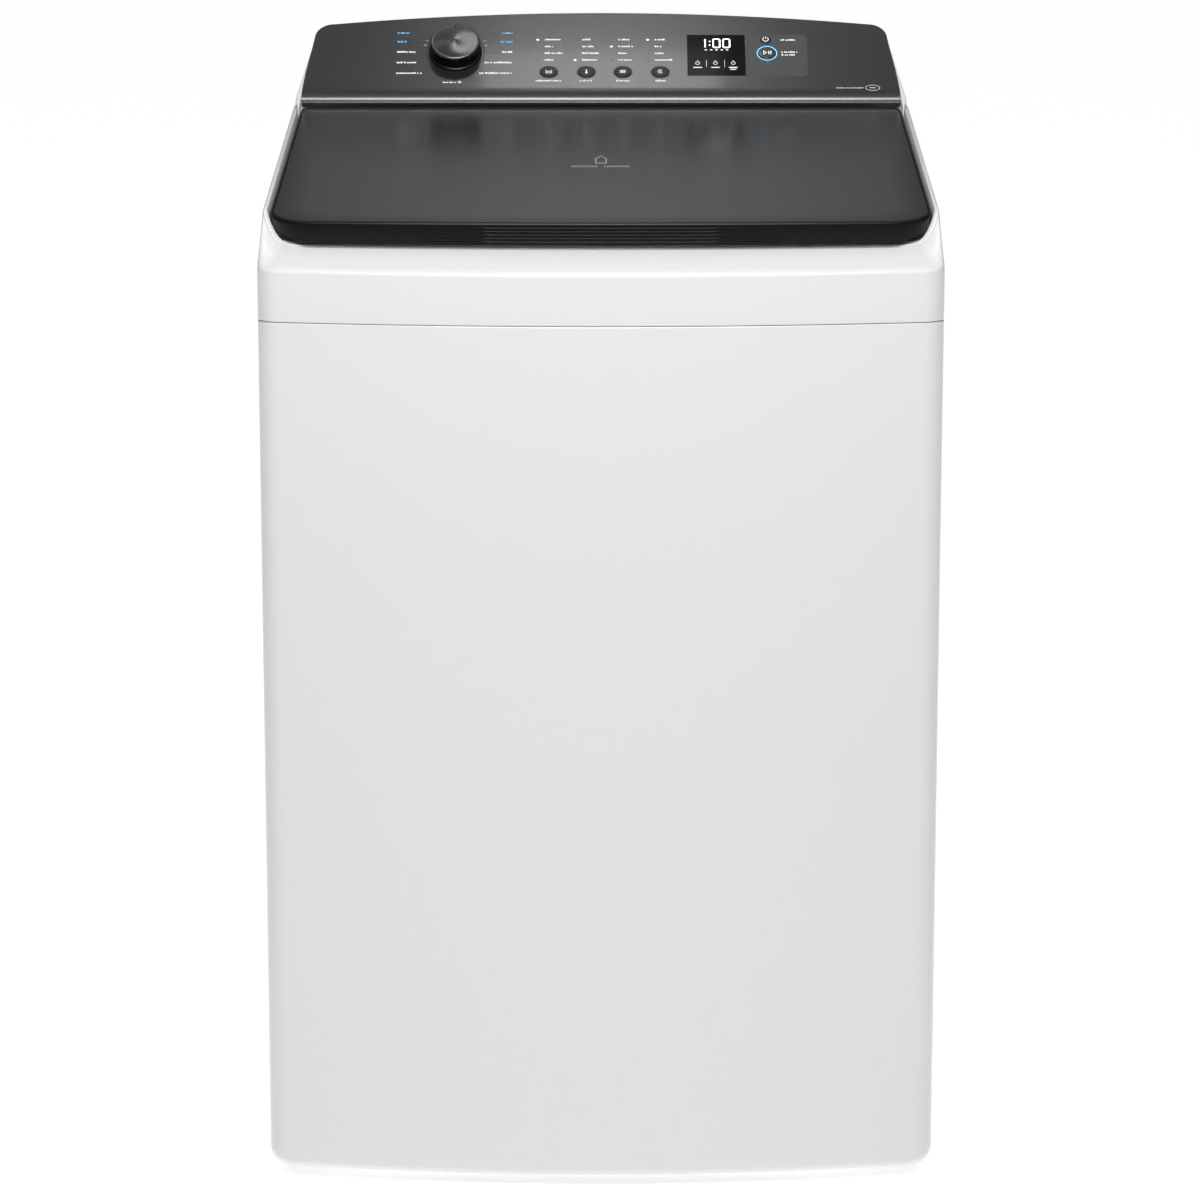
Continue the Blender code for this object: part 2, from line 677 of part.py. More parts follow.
def facia_rings():
    """Rings from the facia's underside, round its edge, to its face; the front edge is a rounded nose."""
    plan = facia_outline()
    count = len(plan)
    levels = [
        (0.0022, -PANEL_THICK, (0.2205, None)),
        (0.0002, -PANEL_THICK, (0.2150, 0.9246)),
        (0.0, -PANEL_THICK + 0.0006, (0.2098, 0.9235)),
        (0.0, -0.0016, (0.2090, 0.9275)),
        (0.0005, -0.0004, (0.2106, 0.9303)),
        (0.0016, 0.0, (0.2140, 0.9320)),
    ]
    rings = []
    for inset, height, (nose_y, nose_z) in levels:
        ring = []
        for i, (x, v) in enumerate(plan):
            before, after = Vector(plan[i - 1]), Vector(plan[(i + 1) % count])
            run = (after - before).normalized()
            point = Vector((x, v)) - inset * Vector((run.y, -run.x))
            if v == 0.0:
                if nose_z is None:
                    back = (nose_y - PANEL_ORIGIN.y) / math.cos(PANEL_TILT) + height * math.tan(PANEL_TILT)
                    ring.append(panel_frame() @ Vector((point.x, back, height)))
                else:
                    ring.append(Vector((point.x, nose_y, nose_z)))
            else:
                ring.append(panel_frame() @ Vector((point.x, point.y, height)))
        rings.append(ring)
    return rings


def round_cutter(name, at, radii, bottom=-0.02, top=0.01, segments=24):
    return ellipse(name, at, [(0.0, bottom), (0.0, top)], radii, None, segments=segments)


def ellipse(name, at, levels, radii, finish, parent=None, segments=20):
    """A prism on the console face with an elliptical plan: levels are (inset, height)."""
    frame = panel_frame(*at)
    rings = []
    for inset, height in levels:
        turns = [2 * math.pi * i / segments for i in range(segments)]
        rings.append(
            [
                frame @ Vector(((radii[0] - inset) * math.cos(t), (radii[1] - inset) * math.sin(t), height))
                for t in turns
            ]
        )
    return piece(name, *skin(rings), finish, parent)


def button_list():
    """Name, place and radii of every key on the console."""
    keys = [
        ("option_button_%d" % (i + 1), at, OPTION_BUTTON_RADII) for i, at in enumerate(OPTION_BUTTONS_AT)
    ]
    keys.append(("power_button", POWER_BUTTON_AT, (POWER_BUTTON_R, POWER_BUTTON_R)))
    keys.append(("start_button", START_BUTTON_AT, (START_BUTTON_R, START_BUTTON_R)))
    return keys


def make_console(finish):
    facia = piece("console_facia", *skin(facia_rings()), finish["charcoal_plastic"])
    cut(facia, round_cutter("shaft_hole", KNOB_AT, (0.0040, 0.0040), segments=12))
    half = DISPLAY_HALF
    frame = panel_frame(*DISPLAY_AT)
    cut(facia, block("display_hole", (-half, -half, -0.02), (half, half, 0.01), None, frame))
    lens_half = half - GAP
    lens = block(
        "display_lens", (-lens_half, -lens_half, -0.0040), (lens_half, lens_half, 0.0002),
        finish["tinted_glass"], frame
    )
    soften(lens, 0.0005, 1)

    board = block(
        "control_board", (BOARD_X[0], 0.016, -0.0190), (BOARD_X[1], 0.084, -0.0174),
        finish["board"], panel_frame(),
    )
    weld(board, block("display_module", (-0.026, -0.026, -0.018), (0.026, 0.026, -0.0048), None, frame))
    weld(
        board,
        block("encoder_can", (-0.008, -0.008, -0.018), (0.008, 0.008, -0.0150), None, panel_frame(*KNOB_AT))
    )
    for name, at, radii in button_list():
        rise = radii[0] + 0.0004, radii[1] + 0.0004
        cut(facia, round_cutter("hole_" + name, at, rise))
        axis = pivot(name + "_axis", panel_frame(*at) @ Vector())
        levels = [(0.0, -0.0095), (0.0, 0.0004), (0.0006, 0.0010)]
        ellipse(name, at, levels, radii, finish["charcoal_plastic"], axis)
        weld(
            board,
            block(
                "switch_" + name, (-0.003, -0.003, -0.018), (0.003, 0.003, -0.0120), None, panel_frame(*at)
            )
        )


def make_knob(finish):
    frame = panel_frame(*KNOB_AT)
    axis = pivot("knob_axis", frame @ Vector())
    skirt = [
        (0.0034, 0.0006), (0.0262, 0.0006), (0.0262, 0.0016), (0.0243, 0.0028), (0.0243, 0.0108),
        (0.0034, 0.0108)
    ]
    turned("knob_skirt", skirt, finish["black_plastic"], frame, 28, True, axis)
    cap = [
        (0.0200, 0.0111), (0.0238, 0.0111), (0.0245, 0.0119), (0.0245, 0.0143), (0.0235, 0.0155),
        (0.0080, 0.0160)
    ]
    turned("knob_cap", cap, finish["spun_metal"], frame, 28, False, axis)
    turned(
        "encoder_shaft", [(0.0030, -0.0145), (0.0030, 0.0105)], finish["zinc_steel"], frame, 12, False, axis
    )


# ------------------------------------------------------------------ dispenser and water
def make_dispenser(finish):
    low, high = (-HOUSING_HALF_WIDTH, 0.1265, 0.8275), (HOUSING_HALF_WIDTH, HOUSING_BACK_Y, 0.8655)
    housing = block("dispenser_housing", low, high, finish["white_plastic"])
    wall = HOUSING_WALL
    inside = (low[0] + wall, 0.10, low[2] + wall), (high[0] - wall, high[1] - wall, high[2] - wall)
    cut(housing, block("housing_room", *inside, None))
    cut(housing, block("water_way", (-0.03, 0.140, 0.82), (0.03, 0.170, 0.84), None))

    axis = pivot("drawer_axis", (0.0, 0.118, DRAWER_Z[0]))
    drawer = block(
        "dispenser_drawer", (-DRAWER_HALF_WIDTH, 0.1165, DRAWER_Z[0]),
        (DRAWER_HALF_WIDTH, DRAWER_BACK_Y, DRAWER_Z[1]),
        finish["grey_plastic"], parent=axis,
    )
    top = DRAWER_Z[1] + 0.01
    for x in ((-0.094, 0.022), (0.025, 0.094)):
        cut(
            drawer,
            block(
                "drawer_bay", (x[0], 0.124, DRAWER_Z[0] + 0.003), (x[1], DRAWER_BACK_Y - 0.004, top), None
            )
        )


def make_inlet_valve(finish):
    valve = block("inlet_valve", (0.134, 0.262, 0.850), (0.226, 0.2975, 0.894), finish["white_plastic"])
    soften(valve, 0.003, 1)
    for x in NIPPLES_X:
        nipple = turned(
            "nipple", [(0.0127, -0.010), (0.0127, 0.0210), (0.0118, 0.0225)], None,
            pointing_back(x, 0.2975, NIPPLE_Z), 20
        )
        weld(valve, nipple)
        cut(
            valve,
            turned(
                "nipple_bore", [(0.0085, 0.0), (0.0085, 0.04)], None, pointing_back(x, 0.2975, NIPPLE_Z), 16
            )
        )


def make_drain(finish):
    x, y = PUMP_AT
    body = [
        (0.030, BASE_TOP_Z + GAP), (0.041, 0.066), (0.041, 0.116), (0.034, 0.124), (0.0165, 0.128),
        (0.0165, PUMP_TOP_Z),
    ]
    pump = turned("drain_pump", body, finish["grey_plastic"], along(x, y), 28)
    spout = turned("pump_spout", [(0.0120, 0.0), (0.0120, 0.065)], None, pointing_back(x, y, OUTLET_Z), 16)
    weld(pump, spout)

    start = y + 0.065 + GAP - CABINET_BACK_Y
    pipe = [
        (0.0095, start), (0.0135, start), (0.0135, 0.0000), (0.0135, 0.0003), (0.0120, 0.0020),
        (0.0120, 0.0180),
        (0.0095, 0.0180),
    ]
    turned(
        "drain_outlet", pipe, finish["grey_plastic"], pointing_back(x, CABINET_BACK_Y, OUTLET_Z), 20, True
    )

    low, high = PUMP_TOP_Z + GAP, TUB_BOTTOM_Z - GAP
    folds = 5
    outer = [(0.0175, low)]
    for i in range(folds):
        z = mix(low + 0.012, high - 0.012, i / folds)
        step = (high - low - 0.024) / folds
        outer += [(0.0175, z), (0.0225, z + 0.5 * step)]
    outer += [(0.0175, high - 0.012), (0.0175, high)]
    profile = outer + [(0.0150, high), (0.0150, low)]
    turned("sump_bellows", profile, finish["rubber"], along(x, y), 12, True)


# ------------------------------------------------------------------ drum
def make_tub(finish):
    axis = pivot("tub_axis", (0.0, DRUM_Y, TUB_BOTTOM_Z))
    frame = along(0.0, DRUM_Y)
    profile = [
        (0.0350, TUB_BOTTOM_Z), (0.246, TUB_BOTTOM_Z), (TUB_R - 0.004, TUB_BOTTOM_Z + 0.006),
        (TUB_R, TUB_BOTTOM_Z + 0.020),
        (TUB_R, TUB_TOP_Z), (TUB_R - 0.0025, TUB_TOP_Z), (TUB_R - 0.0025, TUB_BOTTOM_Z + 0.021),
        (0.247, TUB_BOTTOM_Z + 0.003), (0.0350, TUB_BOTTOM_Z + 0.003),
    ]
    tub = turned("outer_tub", profile, finish["grey_plastic"], frame, ROUND, True, axis)
    for name, side, end in corners():
        turn = math.atan2(end * ROD_Y, side * ROD_X)
        lug_frame = frame @ Matrix.Rotation(turn, 4, "Z")
        weld(
            tub,
            block(
                "lug_" + name, (TUB_R - 0.0015, -0.022, LUG_Z), (0.366, 0.022, LUG_Z + LUG_HEIGHT), None,
                lug_frame
            )
        )
        hole = [(0.0065, LUG_Z - 0.01), (0.0065, LUG_Z + LUG_HEIGHT + 0.01)]
        cut(tub, turned("lug_hole_" + name, hole, None, along(side * ROD_X, DRUM_Y + end * ROD_Y), 12))
    cut(tub, turned("sump_hole", [(0.0140, 0.29), (0.0140, 0.31)], None, along(*PUMP_AT), 16))

    ring = [
        (0.2160, 0.8085), (0.2240, 0.8050), (0.2620, TUB_TOP_Z + GAP), (0.2700, TUB_TOP_Z + GAP),
        (0.2700, 0.8025),
        (0.2280, 0.8115), (0.2160, 0.8115),
    ]
    turned("tub_cover", ring, finish["grey_plastic"], frame, ROUND, True, axis)

    case = [
        (0.0303, 0.152), (0.0580, 0.152), (0.0580, 0.282), (0.1100, 0.288), (0.1100, 0.2996),
        (0.0345, 0.2996),
        (0.0345, 0.3070), (0.0303, 0.3070),
    ]
    turned("gear_case", case, finish["cast_aluminium"], frame, 24, True, axis)
    for name, z in (("bearing_upper", 0.290), ("bearing_lower", 0.160)):
        race = [(SPIN_TUBE_R + GAP, z), (0.0300, z), (0.0300, z + 0.014), (SPIN_TUBE_R + GAP, z + 0.014)]
        turned(name, race, finish["zinc_steel"], frame, 24, True, axis)

    motor_frame = along(MOTOR_X, DRUM_Y)
    motor = [
        (0.0060, 0.104), (0.0060, 0.148), (0.0540, 0.150), (0.0590, 0.158), (0.0590, 0.240),
        (0.0540, 0.248), (0.0200, 0.2510),
    ]
    turned("motor", motor, finish["zinc_steel"], motor_frame, 28, False, axis)
    bracket = block(
        "motor_bracket", (0.0700, DRUM_Y - BRACKET_HALF_WIDTH, 0.2515),
        (0.2150, DRUM_Y + BRACKET_HALF_WIDTH, 0.2545),
        finish["zinc_steel"], parent=axis
    )
    weld(
        bracket,
        block(
            "bracket_leg", (0.2120, DRUM_Y - BRACKET_HALF_WIDTH, 0.2530),
            (0.2150, DRUM_Y + BRACKET_HALF_WIDTH, TUB_BOTTOM_Z - GAP),
            None
        )
    )
    weld(
        bracket,
        block(
            "bracket_rib", (0.1150, DRUM_Y - BRACKET_HALF_WIDTH, 0.2530),
            (0.1180, DRUM_Y + BRACKET_HALF_WIDTH, TUB_BOTTOM_Z - GAP),
            None
        )
    )
    make_belt(finish, axis)


def make_belt(finish, axis):
    """Belt round the motor pulley and the drive pulley: two arcs joined by their common tangents."""
    large = DRIVE_PULLEY_R - GROOVE_DEPTH + 0.0004
    small = MOTOR_PULLEY_R - GROOVE_DEPTH + 0.0004
    lean = math.asin((large - small) / MOTOR_X)

    def loop(offset, z):
        ring = []
        for i in range(17):
            turn = math.radians(90) - lean + (math.radians(180) + 2 * lean) * i / 16
            ring.append(
                Vector(((large + offset) * math.cos(turn), DRUM_Y + (large + offset) * math.sin(turn), z))
            )
        for i in range(9):
            turn = math.radians(270) + lean + (math.radians(180) - 2 * lean) * i / 8
            x = MOTOR_X + (small + offset) * math.cos(turn)
            ring.append(Vector((x, DRUM_Y + (small + offset) * math.sin(turn), z)))
        return ring

    low, high = PULLEY_Z - BELT_WIDTH / 2, PULLEY_Z + BELT_WIDTH / 2
    rings = [loop(0.0, low), loop(BELT_THICK, low), loop(BELT_THICK, high), loop(0.0, high)]
    piece("belt", *skin(rings, "loop"), finish["rubber"], axis)


def pulley(name, radius, bore, x, finish, parent):
    groove = radius - GROOVE_DEPTH
    low, high = PULLEY_Z - 0.010, PULLEY_Z + 0.010
    profile = [
        (bore, low), (radius, low), (radius, PULLEY_Z - 0.0065), (groove, PULLEY_Z - 0.0036),
        (groove, PULLEY_Z + 0.0036), (radius, PULLEY_Z + 0.0065), (radius, high), (bore, high),
    ]
    turned(name, profile, finish, along(x, DRUM_Y), 24, True, parent)


def make_basket(finish):
    axis = pivot("basket_axis", (0.0, DRUM_Y, BASKET_BOTTOM_Z))
    frame = along(0.0, DRUM_Y)
    r, low, wall = BASKET_R, BASKET_BOTTOM_Z, 0.0014
    profile = [
        (0.030, low), (r - 0.022, low), (r - 0.006, low + 0.006), (r, low + 0.022), (r, BASKET_TOP_Z),
        (r - wall, BASKET_TOP_Z), (r - wall, low + 0.0225), (r - 0.007, low + 0.0072),
        (r - 0.0225, low + wall),
        (0.030, low + wall),
    ]
    turned("basket", profile, finish["stainless"], frame, ROUND, True, axis)
    hub = [
        (SPIN_TUBE_R + GAP, 0.310), (0.036, 0.310), (0.140, 0.326), (0.140, low - GAP),
        (SPIN_TUBE_R + GAP, low - GAP)
    ]
    turned("basket_hub", hub, finish["cast_aluminium"], frame, 24, True, axis)
    ring = [
        (0.2130, BASKET_TOP_Z + GAP), (0.2445, BASKET_TOP_Z + GAP), (0.2445, 0.790), (0.2400, 0.796),
        (0.2180, 0.796),
        (0.2130, 0.790),
    ]
    turned("balance_ring", ring, finish["grey_plastic"], frame, ROUND, True, axis)
    tube = [
        (WASH_SHAFT_R + GAP, 0.150), (SPIN_TUBE_R, 0.150), (SPIN_TUBE_R, 0.3375),
        (WASH_SHAFT_R + GAP, 0.3375)
    ]
    turned("spin_tube", tube, finish["zinc_steel"], frame, 24, True, axis)
    for name, side in (("lint_filter_left", -1), ("lint_filter_right", 1)):
        x = sorted((side * 0.2230, side * 0.2372))
        filter_box = block(
            name, (x[0], DRUM_Y - 0.042, 0.500), (x[1], DRUM_Y + 0.042, 0.650), finish["grey_plastic"],
            parent=axis
        )
        soften(filter_box, 0.004, 2)


def pulsator_height(radius, turn):
    """Height of the pulsator's top face: a low dome with four swept fins."""
    share = radius / PULSATOR_R
    dome = 0.004 + 0.018 * (1 - share**2)
    fin = max(0.0, math.cos(4 * (turn - 1.2 * share))) ** 3
    return PULSATOR_Z + dome + 0.022 * fin * math.sin(math.pi * clamp(share**0.9))


def make_pulsator(finish):
    axis = pivot("pulsator_axis", (0.0, DRUM_Y, PULSATOR_Z))
    frame = along(0.0, DRUM_Y)
    bore = WASH_SHAFT_R + GAP
    rings = [circle(bore, 0.3580, ROUND), circle(bore, PULSATOR_Z, ROUND), circle(0.161, PULSATOR_Z, ROUND)]
    rings.append(circle(PULSATOR_R, PULSATOR_Z + 0.002, ROUND))
    for radius in (0.1640, 0.1520, 0.1250, 0.0950, 0.0650, 0.0400):
        ring = circle(radius, 0.0, ROUND)
        for i, point in enumerate(ring):
            point.z = pulsator_height(radius, 2 * math.pi * i / ROUND)
        rings.append(ring)
    rings.append(circle(0.0355, PULSATOR_Z + 0.0215, ROUND))
    piece("pulsator", *skin([placed(ring, frame) for ring in rings]), finish["white_plastic"], axis)
    cap = [
        (0.0300, 0.3620), (0.0350, 0.3625), (0.0350, 0.3660), (0.0300, 0.3715), (0.0180, 0.3750),
        (0.0060, 0.3760)
    ]
    turned("pulsator_cap", cap, finish["grey_plastic"], frame, 28, False, axis)
    shaft = [(0.0080, 0.0950), (WASH_SHAFT_R, 0.0965), (WASH_SHAFT_R, 0.3575)]
    turned("wash_shaft", shaft, finish["zinc_steel"], frame, ROUND_SMALL, False, axis)
    pulley("drive_pulley", DRIVE_PULLEY_R, WASH_SHAFT_R + GAP, 0.0, finish["cast_aluminium"], axis)
    motor_axis = pivot("motor_axis", (MOTOR_X, DRUM_Y, PULLEY_Z))
    pulley("motor_pulley", MOTOR_PULLEY_R, 0.0063, MOTOR_X, finish["zinc_steel"], motor_axis)


def make_suspension(finish):
    """Four hanging rods, each with a spring under its tub lug."""
    profile = [
        (0.0090, ROD_FOOT_Z - 0.010), (0.0150, ROD_FOOT_Z - 0.009), (0.0150, ROD_FOOT_Z - GAP),
        (0.0040, ROD_FOOT_Z),
        (0.0040, ROD_PLATE_Z + 0.0038), (0.0110, ROD_PLATE_Z + 0.0040), (0.0110, ROD_PLATE_Z + 0.0085),
        (0.0060, ROD_PLATE_Z + 0.0125),
    ]
    for name, side, end in corners():
        x, y = side * ROD_X, DRUM_Y + end * ROD_Y
        turned("suspension_rod_" + name, profile, finish["zinc_steel"], along(x, y), 12)
        make_spring("suspension_spring_" + name, (x, y), finish["zinc_steel"])


def make_spring(name, at, finish):
    """An open coil between the rod's foot and the tub's lug, with its ends closed off flat."""
    coil_r, wire_r, turns, per_turn, sides = 0.0130, 0.0016, 6, 8, 4
    low = ROD_FOOT_Z + GAP + wire_r
    high = LUG_Z - GAP - wire_r
    rings = []
    for k in range(turns * per_turn + 1):
        share = k / (turns * per_turn)
        turn = 2 * math.pi * turns * share
        centre = Vector(
            (at[0] + coil_r * math.cos(turn), at[1] + coil_r * math.sin(turn), mix(low, high, share))
        )
        out = Vector((math.cos(turn), math.sin(turn), 0.0))
        ring = []
        for i in range(sides):
            around = 2 * math.pi * i / sides
            ring.append(centre + wire_r * (math.cos(around) * out + math.sin(around) * Vector((0, 0, -1))))
        rings.append(ring)
    piece(name, *skin(rings), finish)


def main():
    remove_everything()
    finish = make_finishes()
    make_cabinet(finish)
    make_rear(finish)
    make_base(finish)
    make_top_cover(finish)
    make_lid(finish)
    make_lid_lock(finish)
    make_console(finish)
    make_knob(finish)
    make_dispenser(finish)
    make_inlet_valve(finish)
    make_drain(finish)
    make_tub(finish)
    make_basket(finish)
    make_pulsator(finish)
    make_suspension(finish)


main()
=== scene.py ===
"""Looks of the top load washing machine: finer shells, console print, drum and finishes round the CAD frame.

Frame: metres, +Z up, the front faces -Y, the origin is on the floor under the middle of the machine.
"""

import json
import random
from math import atan, atan2, cos, degrees, hypot, pi, radians, sin, sqrt, tan

import bmesh
import bpy
from mathutils import Matrix, Vector

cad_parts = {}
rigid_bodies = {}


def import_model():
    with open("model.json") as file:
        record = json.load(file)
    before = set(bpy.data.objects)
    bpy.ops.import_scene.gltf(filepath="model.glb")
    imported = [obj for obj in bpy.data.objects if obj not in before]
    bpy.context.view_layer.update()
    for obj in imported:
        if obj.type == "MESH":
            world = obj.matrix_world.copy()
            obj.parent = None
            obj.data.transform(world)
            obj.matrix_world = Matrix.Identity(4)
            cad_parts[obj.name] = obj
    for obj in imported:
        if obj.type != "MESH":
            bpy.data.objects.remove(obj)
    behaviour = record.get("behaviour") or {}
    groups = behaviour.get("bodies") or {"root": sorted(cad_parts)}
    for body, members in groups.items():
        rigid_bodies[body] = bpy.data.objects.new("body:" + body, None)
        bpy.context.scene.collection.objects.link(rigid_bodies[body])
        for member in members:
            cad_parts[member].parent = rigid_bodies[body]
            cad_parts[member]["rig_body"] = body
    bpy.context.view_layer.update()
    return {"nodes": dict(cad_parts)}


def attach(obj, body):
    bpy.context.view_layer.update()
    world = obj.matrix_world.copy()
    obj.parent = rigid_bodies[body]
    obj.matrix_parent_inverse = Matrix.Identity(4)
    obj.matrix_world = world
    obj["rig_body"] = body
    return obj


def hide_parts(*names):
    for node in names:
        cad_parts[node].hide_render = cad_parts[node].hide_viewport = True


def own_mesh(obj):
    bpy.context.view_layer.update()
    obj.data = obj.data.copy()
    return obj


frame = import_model()

# ---------- sizes, shared with the CAD
GAP = 0.0003
HALF_WIDTH = 0.3
CORNER_Y = -0.292
FRONT_BOW = 0.028
CABINET_BACK_Y = 0.3
COVER_BACK_Y = 0.302
SEAM_Z = 0.783
CORNER_R = 0.022
CREASE_Z = 0.8285
DECK_FRONT_Z = 0.847
DECK_FRONT_Y = -0.27
DECK_SLOPE = 0.06
RIM_BOTTOM_Z = 0.822
HUMP_FRONT_Y = 0.222

LID_HALF_WIDTH = 0.2925
LID_FRONT_Y = -0.277
LID_BACK_Y = 0.207
LID_FRONT_Z = 0.868
LID_SLOPE = 0.1074
LID_THICK = 0.0195
LID_CROWN = 0.0035
LID_BORDER = 0.003
GLASS_THICK = 0.004

PANEL_ORIGIN = Vector((0.0, 0.214, 0.932))
PANEL_TILT = radians(39.2)
PANEL_THICK = 0.006
FACIA_SHADOW_GAP = 0.001
UNDER_FACIA_Z = 0.9221
PANEL_TOP_V = 0.1134
CORNER_X, CORNER_V, CORNER_FACE_R = 0.264, 0.079, 0.0185
CONSOLE_MOUTH_X = 0.23

SIDES = (("left", -1), ("right", 1))
HINGE_YZ = (0.186, 0.9055)
STRIKER_AT = (0.259, -0.12)
SLOT_TOP_Z = 0.8612
SLOT_BOTTOM_Z = 0.831

DRUM_Y = -0.005
MOUTH_HALF_WIDTH = 0.212
MOUTH_FRONT_Y = -0.24
MOUTH_BACK_Y = 0.125

FRONT_STEPS = 26
FRONT_CORNER_STEPS = 12
BACK_STEPS = 12
BACK_CORNER_STEPS = 6
SIDE_STATIONS = [0.262 - 0.0058 * i for i in range(11)]
SIDE_STATIONS += [0.192, 0.18, 0.15, 0.11, 0.06, 0.01, -0.04, -0.08]
COVER_RISE_FROM = 0.933
LID_RISE_FROM = 0.862


# ---------- small helpers
def mix(a, b, share):
    return a + (b - a) * share


def clamp(value, low=0.0, high=1.0):
    return max(low, min(high, value))


def arc(steps, start=0.0, end=90.0):
    """(cosine, sine) pairs from one angle to another, both ends included."""
    turns = [radians(mix(start, end, i / steps)) for i in range(steps + 1)]
    return [(cos(t), sin(t)) for t in turns]


def curve_between(a, corner, b, steps):
    """Points that leave a, bend at corner and reach b."""
    shares = [i / steps for i in range(steps + 1)]
    return [a * (1 - t) ** 2 + corner * 2 * t * (1 - t) + b * t**2 for t in shares]


def node_body(node):
    return frame["nodes"][node]["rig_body"]


def new_object(name, data):
    made = bpy.data.objects.new(name, data)
    bpy.context.scene.collection.objects.link(made)
    return made


def mesh_object(name, verts, faces):
    mesh = bpy.data.meshes.new(name)
    mesh.from_pydata([tuple(v) for v in verts], [], faces)
    return new_object(name, mesh)


def mark_sharp(mesh, angle):
    """Smooth shading, with edges over the angle kept sharp."""
    bm = bmesh.new()
    bm.from_mesh(mesh)
    for face in bm.faces:
        face.smooth = True
    for edge in bm.edges:
        edge.smooth = len(edge.link_faces) == 2 and edge.calc_face_angle(0.0) < radians(angle)
    bm.to_mesh(mesh)
    bm.free()


def piece(name, mesh, look, body="cabinet", stands_for=(), sharp=35.0, place=None):
    """A named piece, from its points and faces: it rides on a body, and may stand for CAD nodes."""
    made = mesh_object(name, *mesh)
    made.data.validate()
    mark_sharp(made.data, sharp)
    material, slot = FINISH[look]
    made.data.materials.append(material)
    if place is not None:
        made.matrix_world = place
    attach(made, body)
    if stands_for:
        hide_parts(*stands_for)
    return made


def skin(rings, ends="capped"):
    """Faces between rings of the same length, and caps, a closed loop of rings, or neither."""
    count, rows = len(rings[0]), len(rings)
    verts = [point for ring in rings for point in ring]
    faces = []
    for k in range(rows if ends == "loop" else rows - 1):
        here, after = k * count, (k + 1) % rows * count
        faces += [(here + i, here + (i + 1) % count, after + (i + 1) % count, after + i) for i in range(count)]
    if ends == "capped":
        faces += [tuple(reversed(range(count))), tuple(range((rows - 1) * count, rows * count))]
    return verts, faces


def joined(*parts):
    """One list of points and faces out of several."""
    verts, faces = [], []
    for part_verts, part_faces in parts:
        start = len(verts)
        verts += part_verts
        faces += [tuple(start + i for i in face) for face in part_faces]
    return verts, faces


def circle(radius, z, segments):
    turns = [2 * pi * i / segments for i in range(segments)]
    return [Vector((radius * cos(t), radius * sin(t), z)) for t in turns]


def lathe(profile, frame_matrix=Matrix(), segments=96, ends="loop"):
    """A turned shape: (radius, height) pairs spun round the frame's Z axis."""
    rings = [[frame_matrix @ p for p in circle(max(r, 1e-5), z, segments)] for r, z in profile]
    return skin(rings, ends)


def rounded(profile, radius=0.001, steps=3):
    """A closed profile with its corners rounded off."""
    points = []
    count = len(profile)
    for i, here in enumerate(profile):
        here, before, after = Vector(here), Vector(profile[i - 1]), Vector(profile[(i + 1) % count])
        reach_back = min(radius, 0.45 * (before - here).length)
        reach_on = min(radius, 0.45 * (after - here).length)
        start = here + (before - here).normalized() * reach_back
        end = here + (after - here).normalized() * reach_on
        points += [tuple(p) for p in curve_between(start, here, end, steps)]
    return points


def box_mesh(low, high, frame_matrix=Matrix()):
    (ax, ay, az), (bx, by, bz) = low, high
    plan = [(ax, ay), (bx, ay), (bx, by), (ax, by)]
    return skin([[frame_matrix @ Vector((x, y, z)) for x, y in plan] for z in (az, bz)])


def soften(target, width, segments=2, angle=30.0):
    bevel = target.modifiers.new("soft edges", "BEVEL")
    bevel.width = width
    bevel.segments = segments
    bevel.limit_method = "ANGLE"
    bevel.angle_limit = radians(angle)
    bevel.harden_normals = False


def thicken(target, thickness):
    solid = target.modifiers.new("thickness", "SOLIDIFY")
    solid.thickness = thickness
    solid.offset = -1.0
    solid.use_even_offset = True


def rectangle(x, y, half_x, half_y):
    return [
        (x - half_x, y - half_y), (x + half_x, y - half_y), (x + half_x, y + half_y), (x - half_x, y + half_y)
    ]


def panel_frame(x=0.0, v=0.0):
    """A frame on the console face: X across, Y up its slope, Z out of it."""
    up = Vector((0.0, cos(PANEL_TILT), sin(PANEL_TILT)))
    out = Vector((0.0, -sin(PANEL_TILT), cos(PANEL_TILT)))
    place = PANEL_ORIGIN + Vector((x, 0.0, 0.0)) + up * v
    turn = Matrix(((1.0, 0.0, 0.0), (0.0, up.y, out.y), (0.0, up.z, out.z))).to_4x4()
    return Matrix.Translation(place) @ turn


def pointing_back(x, y, z):
    """A frame whose Z axis points to the rear."""
    return Matrix.Translation((x, y, z)) @ Matrix.Rotation(radians(-90), 4, "X")


# ---------- finishes
def shader_of(made):
    return made.node_tree.nodes["Principled BSDF"]


def set_inputs(node, **values):
    """Values by the inputs' names, with _ for a space, as in From_Min."""
    for key, value in values.items():
        node.inputs[key.replace("_", " ")].default_value = value


def add_node(tree, kind, feeds=(), **values):
    """A shader node with its input values, and the sockets that feed its inputs."""
    made = tree.nodes.new("ShaderNode" + kind)
    set_inputs(made, **values)
    for key, socket in feeds:
        tree.links.new(socket, made.inputs[key])
    return made


